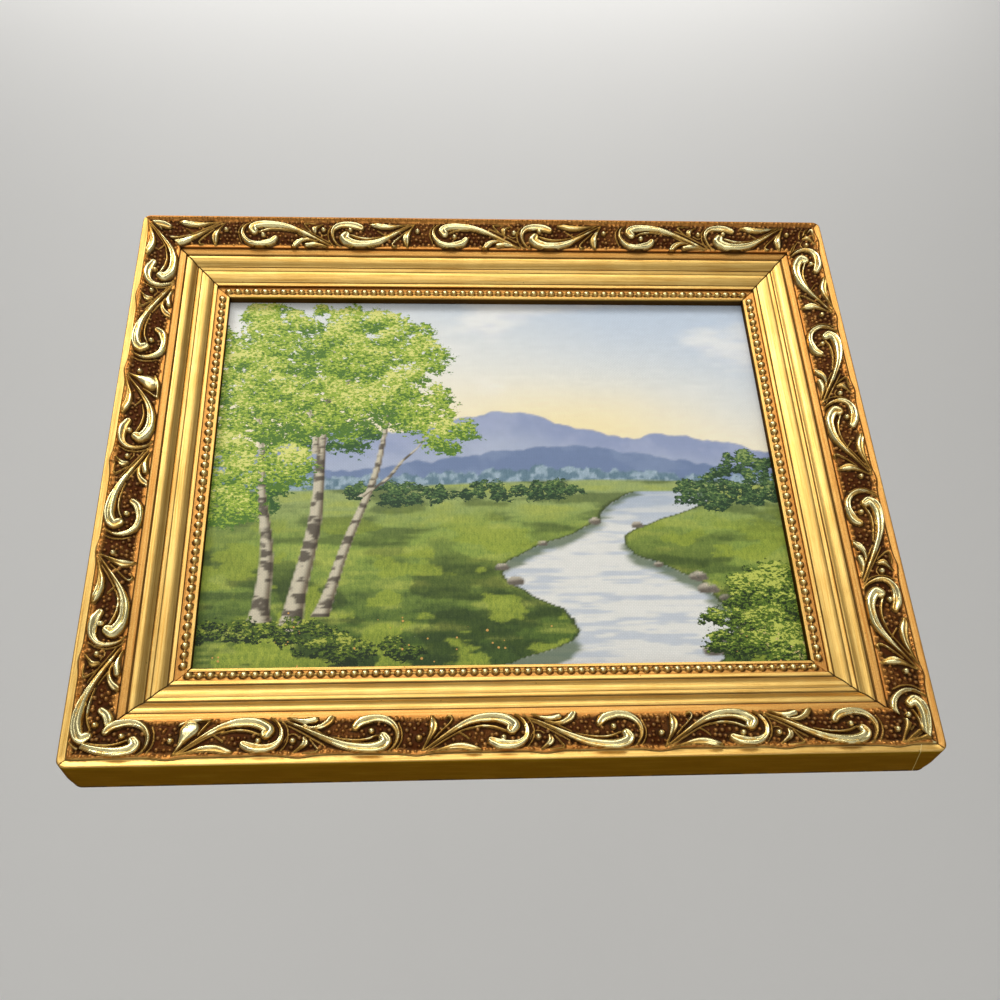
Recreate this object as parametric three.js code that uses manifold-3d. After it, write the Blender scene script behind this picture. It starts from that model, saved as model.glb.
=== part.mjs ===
// A small oil painting in a gilded moulding frame, hung upright with the picture facing -Y and the
// wall at +Y. The origin is on the back of the hanger, behind the middle of the top rail.
// Sizes are in millimetres and +Z is up.

import * as THREE from "three";
import { mergeVertices } from "three/addons/utils/BufferGeometryUtils.js";
import Module from "manifold-3d";

const wasm = await Module();
wasm.setup();

// The painted board, which every length of the frame is cut to fit
const board_width = 253;
const board_height = 198;
const board_thickness = 3;
const board_clearance = 0.8;
const seat_gap = 0.3;

// The moulding in section: widths run inward from the outer edge, drops run back from the lip
const moulding_depth = 21.5;
const lip_chamfer = 0.4;
const lip_width = 2.2;
const lip_drop = 0.7;
const bed_width = 15.7;
const bed_drop = 1.7;
const bed_rise = 0.9;
const bed_step = 0.65;
const flat_width = 2.8;
const flat_drop = 0.5;
const quirk_width = 0.6;
const quirk_depth = 0.35;
const outer_band_width = 4.5;
const outer_band_drop = 1.9;
const outer_band_rise = 0.7;
const fillet_width = 1.2;
const fillet_drop = 0.35;
const inner_band_width = 4.7;
const inner_band_drop = 1.4;
const inner_band_rise = 0.5;
const channel_width = 4.6;
const channel_depth = 1.4;
const channel_drop = 0.4;
const sight_fillet_width = 1.1;
const sight_thickness = 4;
const rabbet_overlap = 6.5;
const corner_radius = 2.5;
const mitre_gap = 0.2;
const bed_facets = 2;
const band_facets = 3;
const corner_facets = 3;
const finest_detail = 0.05;

// The bead row in the channel
const bead_diameter = 3;
const bead_height = 1.4;
const bead_pitch = 4.18;
const bead_sides = 5;
const bead_sink = 0.3;

// The running ornament on the bed. Lengths run along the rail from a bud, and across it from the
// foot of the stems, near the bed's outer edge.
const ornament_repeat = 89.5;
const answering_scroll_start = 42.6;
const ornament_foot = 1.6;
const relief_height = 2.4;
const relief_sink = 0.7;

const stem_start = 2;
const stem_length = 26.5;
const stem_rise = 13.2;
const stem_width = 3.4;
const stem_thin_end = 1.2;
const stem_steps = 4;
const hook_length = 7;
const hook_drop = 5;
const hook_turn = 110;
const hook_steps = 3;

const curl_centre_along = 32.5;
const curl_centre_across = 6.9;
const curl_length = 7.5;
const curl_rise = 6.2;
const curl_width = 3;
const curl_thin_end = 1.3;
const curl_from = 55;
const curl_turn = 200;
const curl_steps = 6;

const leaf_start = 4;
const leaf_length = 18;
const leaf_rise = 2.4;
const leaf_width = 2.6;
const leaf_steps = 3;

const bud_start = 1.5;
const bud_lean = 3.5;
const bud_across = 1;
const bud_length = 12;
const bud_width = 4.2;
const bud_steps = 2;

const bud_pearl_across = 5;
const hook_pearl_along = 31;
const hook_pearl_across = 5.2;
const pearl_diameter = 2.4;
const pearl_height = 1.2;
const pearl_sides = 5;

// Where the first bud stands on each rail, from the corner on its left as its inner edge is held up
const first_bud = { bottom: 39.3, right: 32.5, top: 17.5, left: 3.2 };

// Steel points that hold the board in the rabbet
const point_length = 11;
const point_width = 6;
const point_thickness = 0.8;
const point_bite = 4;
const point_spacing = 110;

// The sawtooth hanger and its nail heads
const hanger_length = 46;
const hanger_height = 11;
const hanger_sheet = 0.9;
const hanger_stand_off = 1.6;
const hanger_foot = 8;
const hanger_ramp = 3;
const hanger_teeth = 7;
const hanger_from_edge = 16;
const tooth_depth = 2;
const nail_head_diameter = 4;
const nail_head_height = 0.6;
const nail_head_facets = 12;

// How far a cutter reaches past what it cuts
const cutter_reach = 1;

const gold = new THREE.MeshStandardMaterial({ color: 0xc9a55c, roughness: 0.42, metalness: 0.75 });
const canvas = new THREE.MeshStandardMaterial({ color: 0x9fae8c, roughness: 0.55, metalness: 0 });
const steel = new THREE.MeshStandardMaterial({ color: 0x8f9194, roughness: 0.45, metalness: 1 });

// A line drawn by moves, each given as a width inward and a drop back
class Outline {
  constructor(x, y) {
    this.points = [new THREE.Vector2(x, y)];
  }

  get end() {
    return this.points[this.points.length - 1];
  }

  move(width, drop) {
    this.points.push(new THREE.Vector2(this.end.x + width, this.end.y - drop));
    return this;
  }

  // A narrow groove, down and up again
  quirk() {
    return this.move(quirk_width, quirk_depth).move(quirk_width, -quirk_depth);
  }

  // A shallow bow of the given rise over its chord, as a parabola
  bow(width, drop, rise, steps) {
    const start = this.end.clone();
    for (let i = 1; i <= steps; i++) {
      const t = i / steps;
      const bowed = start.y - drop * t + 4 * rise * t * (1 - t);
      this.points.push(new THREE.Vector2(start.x + width * t, bowed));
    }
    return this;
  }
}

// The moulding's section, from the back of its outer side over its face to the rabbet
function mouldingSection() {
  const line = new Outline(0, -moulding_depth);
  line.move(0, lip_chamfer - moulding_depth).move(lip_chamfer, -lip_chamfer);
  line.move(lip_width, lip_drop);
  const bed = { start: line.end.clone() };
  line.bow(bed_width, bed_drop, bed_rise, bed_facets);
  bed.end = line.end.clone();
  line.move(0, bed_step).move(flat_width, flat_drop).move(quirk_width, 2 * quirk_depth);
  line.bow(outer_band_width, outer_band_drop, outer_band_rise, band_facets).quirk();
  line.move(fillet_width, fillet_drop).move(quirk_width / 2, quirk_depth);
  line.bow(inner_band_width, inner_band_drop, inner_band_rise, band_facets).quirk();
  line.move(fillet_width, fillet_drop / 2).move(0, channel_depth);
  const channel = { start: line.end.clone() };
  line.move(channel_width, channel_drop);
  channel.end = line.end.clone();
  line.move(0, -quirk_depth).move(sight_fillet_width, fillet_drop / 2);
  const sight = line.end.clone();
  line.move(0, sight_thickness).move(-rabbet_overlap, 0);
  const shelf = line.end.clone();
  line.move(0, shelf.y + moulding_depth);
  return { points: line.points, bed, channel, sight, shelf };
}

const section = mouldingSection();
const frame_width = board_width + 2 * (board_clearance + section.shelf.x);
const frame_height = board_height + 2 * (board_clearance + section.shelf.x);

// Height of the moulding's face at a width inward, between two points of its section
function faceHeight(inward) {
  const points = section.points;
  for (let i = 1; i < points.length; i++) {
    const [a, b] = [points[i - 1], points[i]];
    if (b.x > a.x && inward <= b.x) {
      return a.y + ((b.y - a.y) * (inward - a.x)) / (b.x - a.x);
    }
  }
  return section.sight.y;
}

// A closed solid from points and triples of their indices
function solidFrom(points, faces) {
  const mesh = new wasm.Mesh({
    numProp: 3,
    vertProperties: Float32Array.from(points.flatMap((p) => [p.x, p.y, p.z])),
    triVerts: Uint32Array.from(faces),
  });
  return new wasm.Manifold(mesh);
}

function solidFromGeometry(source) {
  const geometry = source.clone();
  geometry.deleteAttribute("normal");
  geometry.deleteAttribute("uv");
  const merged = mergeVertices(geometry, 1e-4);
  const mesh = new wasm.Mesh({
    numProp: 3,
    vertProperties: Float32Array.from(merged.attributes.position.array),
    triVerts: Uint32Array.from(merged.index.array),
  });
  return new wasm.Manifold(mesh);
}

function geometryFrom(solid) {
  const mesh = solid.getMesh();
  const geometry = new THREE.BufferGeometry();
  geometry.setAttribute("position", new THREE.BufferAttribute(mesh.vertProperties, 3));
  geometry.setIndex(new THREE.BufferAttribute(mesh.triVerts, 1));
  geometry.computeVertexNormals();
  return geometry;
}

// Triangles over a closed outline, wound the way the outline runs
function capOver(outline) {
  const forward = THREE.ShapeUtils.area(outline) > 0;
  return THREE.ShapeUtils.triangulateShape(outline, []).map((triangle) => {
    const same = THREE.ShapeUtils.area(triangle.map((i) => outline[i])) > 0 === forward;
    return same ? triangle : triangle.reverse();
  });
}

// A closed solid from rings of equal count, joined in order, with both ends capped
function sweep(rings, cap) {
  const count = rings[0].length;
  const faces = [];
  for (let r = 0; r + 1 < rings.length; r++) {
    for (let i = 0; i < count; i++) {
      const [a, b] = [r * count + i, r * count + ((i + 1) % count)];
      faces.push(a, b, b + count, a, b + count, a + count);
    }
  }
  const last = (rings.length - 1) * count;
  for (const [a, b, c] of cap) {
    faces.push(a, c, b, last + a, last + b, last + c);
  }
  return solidFrom(rings.flat(), faces);
}

// A closed cone over a ring of points
function cone(ring, apex) {
  const count = ring.length;
  const faces = [];
  for (let i = 0; i < count; i++) {
    faces.push(i, (i + 1) % count, count);
    if (i > 1) {
      faces.push(0, i, i - 1);
    }
  }
  return solidFrom([...ring, apex], faces);
}

// A point of a rail: along it from its left corner, inward from its outer edge, out to the viewer
function railPoint(along, inward, out) {
  return new THREE.Vector3(along, -out, inward);
}

// A prism of the given outline between the rail's two mitres
function mitredPrism(outline, length) {
  const start = outline.map((p) => railPoint(p.x + mitre_gap / 2, p.x, p.y));
  const end = outline.map((p) => railPoint(length - p.x - mitre_gap / 2, p.x, p.y));
  return sweep([end, start], capOver(outline));
}

// Points of a path by a formula, from t = 0 to 1
function trace(steps, at) {
  return Array.from({ length: steps + 1 }, (unused, i) => at(i / steps));
}

// A carved ridge on the bed, along a path of points that each have a width and a height
function ridge(path) {
  const rings = path.map((point, i) => {
    const before = path[Math.max(i - 1, 0)];
    const after = path[Math.min(i + 1, path.length - 1)];
    const run = new THREE.Vector2(after.along - before.along, after.inward - before.inward);
    const side = new THREE.Vector2(-run.y, run.x).setLength(point.width / 2);
    const [left, right] = [point.inward + side.y, point.inward - side.y];
    return [
      railPoint(point.along - side.x, right, faceHeight(right) - relief_sink),
      railPoint(point.along + side.x, left, faceHeight(left) - relief_sink),
      railPoint(point.along, point.inward, faceHeight(point.inward) + point.height),
    ];
  });
  return sweep(rings, [[0, 1, 2]]);
}

// A low round boss with a pointed top, for beads and pearls
function boss(along, inward, diameter, height, sides, sink) {
  const foot = faceHeight(inward) - sink;
  const ring = Array.from({ length: sides }, (unused, i) => {
    const turn = (2 * Math.PI * (i + 0.5)) / sides;
    const [across, up] = [Math.cos(turn), Math.sin(turn)];
    return railPoint(along + (across * diameter) / 2, inward + (up * diameter) / 2, foot);
  });
  return cone(ring, railPoint(along, inward, faceHeight(inward) + height));
}

const foot_inward = section.bed.start.x + ornament_foot;

// The stem rises as a quarter of a sine and ends in an elliptical hook
function stemPath() {
  const stem = trace(stem_steps, (t) => ({
    along: stem_start + stem_length * t,
    inward: foot_inward + stem_rise * Math.sin((Math.PI / 2) * t),
    width: THREE.MathUtils.lerp(stem_thin_end, stem_width, t),
    height: relief_height * (0.45 + 0.55 * t),
  }));
  const hook = trace(hook_steps, (t) => {
    const turn = THREE.MathUtils.degToRad(90 - hook_turn * t);
    return {
      along: stem_start + stem_length + hook_length * Math.cos(turn),
      inward: foot_inward + stem_rise - hook_drop * (1 - Math.sin(turn)),
      width: stem_width,
      height: relief_height * (1 - 0.2 * t),
    };
  });
  return [...stem, ...hook.slice(1)];
}

// The curl closes round the hook, from a thin start beside it to a fat end under it
function curlPath() {
  return trace(curl_steps, (t) => {
    const turn = THREE.MathUtils.degToRad(curl_from - curl_turn * t);
    return {
      along: curl_centre_along + curl_length * Math.cos(turn),
      inward: foot_inward + curl_centre_across + curl_rise * Math.sin(turn),
      width: THREE.MathUtils.lerp(curl_thin_end, curl_width, t),
      height: relief_height * (0.6 + 0.3 * t),
    };
  });
}

// The low leaf lies under the stem, along the bed's outer edge
function leafPath() {
  return trace(leaf_steps, (t) => {
    const swell = Math.sin(Math.PI * t);
    return {
      along: leaf_start + leaf_length * t,
      inward: foot_inward + leaf_rise * swell,
      width: leaf_width * (0.3 + 0.7 * swell),
      height: relief_height * (0.3 + 0.4 * swell),
    };
  });
}

// The bud stands behind the foot of the stem
function budPath() {
  return trace(bud_steps, (t) => ({
    along: bud_start + bud_lean * t,
    inward: foot_inward + bud_across + bud_length * t,
    width: bud_width * (0.2 + 0.8 * Math.sin(Math.PI * t ** 1.3)),
    height: relief_height * (0.3 + 0.5 * t),
  }));
}

// Half of the repeat: a stem with its curl, leaf, bud and pearls. Every second one is turned over,
// so that it falls from the bed's inner edge.
function halfMotif(start, turned) {
  const width = section.bed.start.x + section.bed.end.x + ornament_foot;
  const lay = (point) => ({
    ...point,
    along: start + point.along,
    inward: turned ? width - point.inward : point.inward,
  });
  const ridges = [stemPath(), curlPath(), leafPath(), budPath()].map((path) => {
    return ridge(path.map(lay));
  });
  const pearls = [
    { along: 0, inward: foot_inward + bud_pearl_across },
    { along: hook_pearl_along, inward: foot_inward + hook_pearl_across },
  ].map((place) => {
    const { along, inward } = lay(place);
    return boss(along, inward, pearl_diameter, pearl_height, pearl_sides, relief_sink);
  });
  return [...ridges, ...pearls];
}

function carvedOrnament(side, length) {
  const pieces = [];
  for (let start = first_bud[side] - ornament_repeat; start < length; start += ornament_repeat) {
    pieces.push(...halfMotif(start, false), ...halfMotif(start + answering_scroll_start, true));
  }
  const { start, end } = section.bed;
  const band = [
    new THREE.Vector2(start.x, start.y - relief_height),
    new THREE.Vector2(start.x, start.y + 2 * relief_height),
    new THREE.Vector2(end.x, start.y + 2 * relief_height),
    new THREE.Vector2(end.x, end.y - relief_height),
  ];
  return wasm.Manifold.union(pieces).intersect(mitredPrism(band, length));
}

function beadRow(length) {
  const inward = (section.channel.start.x + section.channel.end.x) / 2;
  const count = Math.floor((length - 2 * inward) / bead_pitch);
  const beads = Array.from({ length: count }, (unused, i) => {
    const along = length / 2 + (i - (count - 1) / 2) * bead_pitch;
    return boss(along, inward, bead_diameter, bead_height, bead_sides, bead_sink);
  });
  return wasm.Manifold.union(beads);
}

// What is taken off the end of a rail to round the frame's outer corner
function cornerWaste(length, far) {
  const outline = [
    new THREE.Vector2(-cutter_reach, -cutter_reach),
    new THREE.Vector2(-cutter_reach, corner_radius),
    ...trace(corner_facets, (t) => {
      const turn = (Math.PI / 2) * t;
      const [along, inward] = [1 - Math.cos(turn), 1 - Math.sin(turn)];
      return new THREE.Vector2(along, inward).multiplyScalar(corner_radius);
    }),
    new THREE.Vector2(corner_radius, -cutter_reach),
  ];
  const ringAt = (out) => outline.map((p) => railPoint(far ? length - p.x : p.x, p.y, out));
  const rings = [ringAt(cutter_reach), ringAt(-moulding_depth - cutter_reach)];
  return sweep(far ? rings.reverse() : rings, capOver(outline));
}

// Where the steel points stand along a rail, measured from its middle
function pointPlaces(length) {
  const room = length - 2 * section.shelf.x;
  const count = Math.max(1, Math.floor(room / point_spacing));
  return Array.from({ length: count }, (unused, i) => (i - (count - 1) / 2) * point_spacing);
}

const board_front = section.shelf.y - seat_gap;
const point_front = board_front - board_thickness - seat_gap;

// The slot that a point is pressed into, through the wall of the rabbet
function pointSlot(along) {
  const bite = point_bite + seat_gap;
  const box = new THREE.BoxGeometry(
    point_width + 2 * seat_gap,
    point_thickness + 2 * seat_gap,
    bite + cutter_reach,
  );
  const inward = section.shelf.x + (cutter_reach - bite) / 2;
  const middle = railPoint(along, inward, point_front - point_thickness / 2);
  box.translate(middle.x, middle.y, middle.z);
  return solidFromGeometry(box);
}

function railGeometry(side, length) {
  let rail = mitredPrism(section.points, length)
    .add(carvedOrnament(side, length))
    .add(beadRow(length))
    .subtract(cornerWaste(length, false))
    .subtract(cornerWaste(length, true));
  for (const place of pointPlaces(length)) {
    rail = rail.subtract(pointSlot(length / 2 + place));
  }
  return geometryFrom(rail.simplify(finest_detail)).translate(-length / 2, 0, 0);
}

// A flat steel point: a short plate, pointed at the end that is pressed into the wood
function pointGeometry() {
  const [half_width, half_length] = [point_width / 2, point_length / 2];
  const outline = new THREE.Shape([
    new THREE.Vector2(-half_width, half_length),
    new THREE.Vector2(-half_width, half_width - half_length),
    new THREE.Vector2(0, -half_length),
    new THREE.Vector2(half_width, half_width - half_length),
    new THREE.Vector2(half_width, half_length),
  ]);
  const plate = new THREE.ExtrudeGeometry(outline, { depth: point_thickness, bevelEnabled: false });
  return plate.rotateX(Math.PI / 2).translate(0, point_thickness, 0);
}

const hanger_half = hanger_length / 2;
const hanger_flat_half = hanger_half - hanger_foot - hanger_ramp;

// The hanger's strip stands off the wood between its two feet, with its back at Y = 0
function hangerStrip() {
  const rear = [
    new THREE.Vector2(-hanger_half, -hanger_stand_off),
    new THREE.Vector2(-hanger_half + hanger_foot, -hanger_stand_off),
    new THREE.Vector2(-hanger_flat_half, 0),
    new THREE.Vector2(hanger_flat_half, 0),
    new THREE.Vector2(hanger_half - hanger_foot, -hanger_stand_off),
    new THREE.Vector2(hanger_half, -hanger_stand_off),
  ];
  const front = rear.map((p) => new THREE.Vector2(p.x, p.y - hanger_sheet)).reverse();
  const outline = new THREE.Shape([...rear, ...front]);
  const strip = new THREE.ExtrudeGeometry(outline, { depth: hanger_height, bevelEnabled: false });
  return solidFromGeometry(strip.translate(0, 0, -hanger_height / 2));
}

// The notch between two teeth of the hanger's lower edge
function toothNotch(along, width) {
  const outline = new THREE.Shape([
    new THREE.Vector2(-width / 2, -cutter_reach),
    new THREE.Vector2(width / 2, -cutter_reach),
    new THREE.Vector2(width / 2, 0),
    new THREE.Vector2(0, tooth_depth),
    new THREE.Vector2(-width / 2, 0),
  ]);
  const depth = hanger_sheet + 2 * cutter_reach;
  const cut = new THREE.ExtrudeGeometry(outline, { depth, bevelEnabled: false });
  cut.rotateX(Math.PI / 2).translate(along, cutter_reach, -hanger_height / 2);
  return solidFromGeometry(cut);
}

// A nail's head, standing on the back of one of the hanger's feet
function nailHead(along) {
  const radius = nail_head_diameter / 2;
  const height = nail_head_height + hanger_sheet / 2;
  const head = new THREE.CylinderGeometry(radius - nail_head_height, radius, height, nail_head_facets);
  head.translate(along, nail_head_height - hanger_stand_off - height / 2, 0);
  return solidFromGeometry(head);
}

function hangerGeometry() {
  let hanger = hangerStrip();
  const tooth_width = (2 * hanger_flat_half) / hanger_teeth;
  for (let i = 0; i < hanger_teeth; i++) {
    const along = (i - (hanger_teeth - 1) / 2) * tooth_width;
    hanger = hanger.subtract(toothNotch(along, tooth_width));
  }
  for (const end of [-1, 1]) {
    hanger = hanger.add(nailHead(end * (hanger_half - hanger_foot / 2)));
  }
  return geometryFrom(hanger);
}

function named(name, geometry, material) {
  const mesh = new THREE.Mesh(geometry, material);
  mesh.name = name;
  return mesh;
}

// The frame stands round its own centre, with the plane of its lip at Y = 0 of this group
const picture = new THREE.Group();
const back_of_wood = -hanger_stand_off - hanger_sheet - seat_gap;
picture.position.set(0, back_of_wood - moulding_depth, hanger_from_edge - frame_height / 2);

const rails = [
  { side: "bottom", length: frame_width, reach: frame_height / 2, turn: 0 },
  { side: "right", length: frame_height, reach: frame_width / 2, turn: -Math.PI / 2 },
  { side: "top", length: frame_width, reach: frame_height / 2, turn: Math.PI },
  { side: "left", length: frame_height, reach: frame_width / 2, turn: Math.PI / 2 },
];

for (const { side, length, reach, turn } of rails) {
  const rail = new THREE.Group();
  rail.rotation.y = turn;
  picture.add(rail);
  const wood = named(`${side}_rail`, railGeometry(side, length), gold);
  wood.position.z = -reach;
  rail.add(wood);
  pointPlaces(length).forEach((place, i) => {
    const point = named(`${side}_point_${i + 1}`, pointGeometry(), steel);
    const inward = section.shelf.x - point_bite + point_length / 2;
    point.position.set(place, -point_front, inward - reach);
    rail.add(point);
  });
}

const board = new THREE.BoxGeometry(board_width, board_thickness, board_height);
const painting = named("painting", board, canvas);
painting.position.y = board_thickness / 2 - board_front;
picture.add(painting);

const framed_painting = new THREE.Group();
framed_painting.add(picture, named("hanger", hangerGeometry(), steel));

export default framed_painting;
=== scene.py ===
"""Looks of a small oil painting in a gilded moulding frame that hangs on a wall.

The picture faces -Y and the wall is at +Y. Every class works in millimetres, and a mesh is turned
to metres as it is made. A rail is worked out in its own frame: along it from the corner on its
left as its inner edge is held up, inward from its outer edge, and out towards the viewer.
"""

import logging
import math
from dataclasses import dataclass
from enum import Enum

import bpy
import numpy as np
from mathutils import Matrix, Vector


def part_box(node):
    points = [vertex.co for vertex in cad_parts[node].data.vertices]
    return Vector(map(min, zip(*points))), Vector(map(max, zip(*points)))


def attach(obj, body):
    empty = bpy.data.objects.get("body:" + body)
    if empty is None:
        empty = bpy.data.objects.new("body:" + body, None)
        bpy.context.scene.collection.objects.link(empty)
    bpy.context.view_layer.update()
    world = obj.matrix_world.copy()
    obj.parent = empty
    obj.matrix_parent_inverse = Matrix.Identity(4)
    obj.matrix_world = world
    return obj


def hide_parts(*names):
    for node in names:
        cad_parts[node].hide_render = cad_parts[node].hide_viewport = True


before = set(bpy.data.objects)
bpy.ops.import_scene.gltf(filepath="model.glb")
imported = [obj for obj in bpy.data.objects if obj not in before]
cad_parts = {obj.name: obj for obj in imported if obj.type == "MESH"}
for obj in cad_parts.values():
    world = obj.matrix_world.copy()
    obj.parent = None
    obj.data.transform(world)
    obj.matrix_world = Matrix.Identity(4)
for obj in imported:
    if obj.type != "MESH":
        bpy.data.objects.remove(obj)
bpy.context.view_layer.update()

log = logging.getLogger("framed_painting")

MM = 0.001
BODY = "root"
LATTICE = 256
Array = np.ndarray
Colour = tuple[float, float, float, float]
Triple = tuple[float, float, float]
Socket = bpy.types.NodeSocket
Tree = bpy.types.NodeTree
Piece = bpy.types.Object
Material = bpy.types.Material
Value = Socket | float | tuple


def srgb(red: int, green: int, blue: int) -> Colour:
    """Linear colour of an sRGB one: ((c + 0.055) / 1.055) ** 2.4 for each channel.

    Args:
        red: Red, 0 to 255.
        green: Green, 0 to 255.
        blue: Blue, 0 to 255.

    Returns:
        The four numbers of a Blender colour.
    """
    shares = [c / 255 for c in (red, green, blue)]
    linear = [s / 12.92 if s <= 0.04045 else ((s + 0.055) / 1.055) ** 2.4 for s in shares]
    return (*linear, 1.0)


def smoothstep(low: float, high: float, value: Array) -> Array:
    """S-curve 3t^2 - 2t^3 of the clamped share t of the way from low to high, which may be lower."""
    t = np.clip((value - low) / (high - low), 0.0, 1.0)
    return t * t * (3 - 2 * t)


def bell(value: Array) -> Array:
    """Bell curve: e to the power of minus the square."""
    return np.exp(-(value**2))


def lattice_noise(x: Array, y: Array, size: float, seed: int) -> Array:
    """Smooth noise: random numbers on a square lattice, blended by an S-curve between its points.

    Args:
        x: First coordinate.
        y: Second coordinate.
        size: Spacing of the lattice.
        seed: Picks the random numbers.

    Returns:
        Noise from 0 to 1 at each point.
    """
    table = np.random.default_rng(seed).random((LATTICE, LATTICE))
    column, row = np.floor(x / size).astype(int), np.floor(y / size).astype(int)
    s, t = smoothstep(0.0, 1.0, x / size - column), smoothstep(0.0, 1.0, y / size - row)
    left, right = column % LATTICE, (column + 1) % LATTICE
    below, above = row % LATTICE, (row + 1) % LATTICE
    near = table[below, left] * (1 - s) + table[below, right] * s
    far = table[above, left] * (1 - s) + table[above, right] * s
    return near * (1 - t) + far * t


def cloudy(x: Array, y: Array, size: float, octaves: int, seed: int) -> Array:
    """Sum of lattice noises, each at half the size and half the strength of the one before.

    Args:
        x: First coordinate.
        y: Second coordinate.
        size: Size of the largest forms.
        octaves: How many noises are summed.
        seed: Picks the random numbers.

    Returns:
        Noise from 0 to 1 at each point.
    """
    total = np.zeros(np.broadcast(x, y).shape)
    weight = 0.0
    for octave in range(octaves):
        share = 0.5**octave
        total = total + share * lattice_noise(x, y, size * share, seed + octave)
        weight += share
    return total / weight


def blurred(grid: Array, radius: int) -> Array:
    """Mean over a square window, taken twice along each way of the grid by running sums.

    Args:
        grid: Heights on a regular grid.
        radius: Half of the window, in cells.

    Returns:
        The smoothed grid, of the same shape.
    """
    window = 2 * radius + 1
    for axis in (0, 1, 0, 1):
        pad = [(0, 0), (0, 0)]
        pad[axis] = (radius + 1, radius)
        sums = np.cumsum(np.pad(grid, pad, mode="edge"), axis=axis)
        length = grid.shape[axis]
        upper = np.take(sums, range(window, window + length), axis=axis)
        grid = (upper - np.take(sums, range(length), axis=axis)) / window
    return grid


def smooth_path(points: Array, steps: int) -> Array:
    """Catmull-Rom curve: a cubic between two points that leaves each along its neighbours' chord.

    Args:
        points: Points of the path, one to a row, of any number of columns.
        steps: Pieces between two points.

    Returns:
        The points of the curve, one to a row.
    """
    p = np.vstack([2 * points[0] - points[1], points, 2 * points[-1] - points[-2]])
    t = np.arange(steps)[:, None, None] / steps
    a, b, c, d = p[:-3], p[1:-2], p[2:-1], p[3:]
    square, cube = 2 * a - 5 * b + 4 * c - d, 3 * b - a - 3 * c + d
    curve = 0.5 * (2 * b + (c - a) * t + square * t**2 + cube * t**3)
    return np.vstack([curve.transpose(1, 0, 2).reshape(-1, points.shape[1]), points[-1]])


def cad_size(node: str) -> tuple[Array, Array]:
    """Lowest and highest corner of a CAD node, in millimetres."""
    low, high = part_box(node)
    return np.array(low) / MM, np.array(high) / MM


def make_piece(
    name: str, points: Array, quads: Array, others: list[list[int]],
    materials: list[Material], face_material: Array | None = None,
) -> Piece:
    """Makes a mesh object from points and faces, in place, with its faces shaded smooth.

    Args:
        name: The piece's name.
        points: Its vertices, in millimetres.
        quads: Faces of four corners, one to a row.
        others: Faces of any other number of corners.
        materials: Its materials.
        face_material: Number of the material of each face, the quads first.

    Returns:
        The object, which rides on the body.
    """
    sizes = np.concatenate([np.full(len(quads), 4), np.array([len(f) for f in others], int)])
    corners = np.concatenate([quads.ravel(), np.array([i for f in others for i in f], int)])
    mesh = bpy.data.meshes.new(name)
    mesh.vertices.add(len(points))
    mesh.vertices.foreach_set("co", (points * MM).astype(np.float32).ravel())
    mesh.loops.add(len(corners))
    mesh.loops.foreach_set("vertex_index", corners.astype(np.int32))
    mesh.polygons.add(len(sizes))
    starts = np.concatenate([[0], np.cumsum(sizes)[:-1]])
    mesh.polygons.foreach_set("loop_start", starts.astype(np.int32))
    mesh.update(calc_edges=True)
    mesh.polygons.foreach_set("use_smooth", np.ones(len(sizes), bool))
    for material in materials:
        mesh.materials.append(material)
    if face_material is not None:
        mesh.polygons.foreach_set("material_index", face_material.astype(np.int32))
    mesh.validate()
    piece = bpy.data.objects.new(name, mesh)
    bpy.context.scene.collection.objects.link(piece)
    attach(piece, BODY)
    return piece


def store(piece: Piece, name: str, values: Array, kind: str = "FLOAT") -> None:
    """Stores a number, a vector or a linear colour for each vertex.

    Args:
        piece: The piece.
        name: The attribute's name.
        values: What each vertex gets. A colour has three numbers.
        kind: FLOAT, FLOAT_VECTOR or FLOAT_COLOR.
    """
    if kind == "FLOAT_COLOR":
        values = np.insert(values, 3, 1.0, axis=1)
    slot = {"FLOAT": "value", "FLOAT_VECTOR": "vector", "FLOAT_COLOR": "color"}[kind]
    layer = piece.data.attributes.new(name, kind, "POINT")
    layer.data.foreach_set(slot, values.astype(np.float32).ravel())


def sharpen_rows(piece: Piece, row_of: Array, sharp_rows: Array) -> None:
    """Marks as sharp each edge that joins two vertices of the same sharp row.

    Args:
        piece: The piece.
        row_of: Number of the row that each vertex is in.
        sharp_rows: Whether each row is an arris.
    """
    mesh = piece.data
    ends = np.zeros(len(mesh.edges) * 2, np.int32)
    mesh.edges.foreach_get("vertices", ends)
    first, second = row_of[ends[0::2]], row_of[ends[1::2]]
    layer = mesh.attributes.get("sharp_edge") or mesh.attributes.new("sharp_edge", "BOOLEAN", "EDGE")
    layer.data.foreach_set("value", (first == second) & sharp_rows[first])


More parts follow.
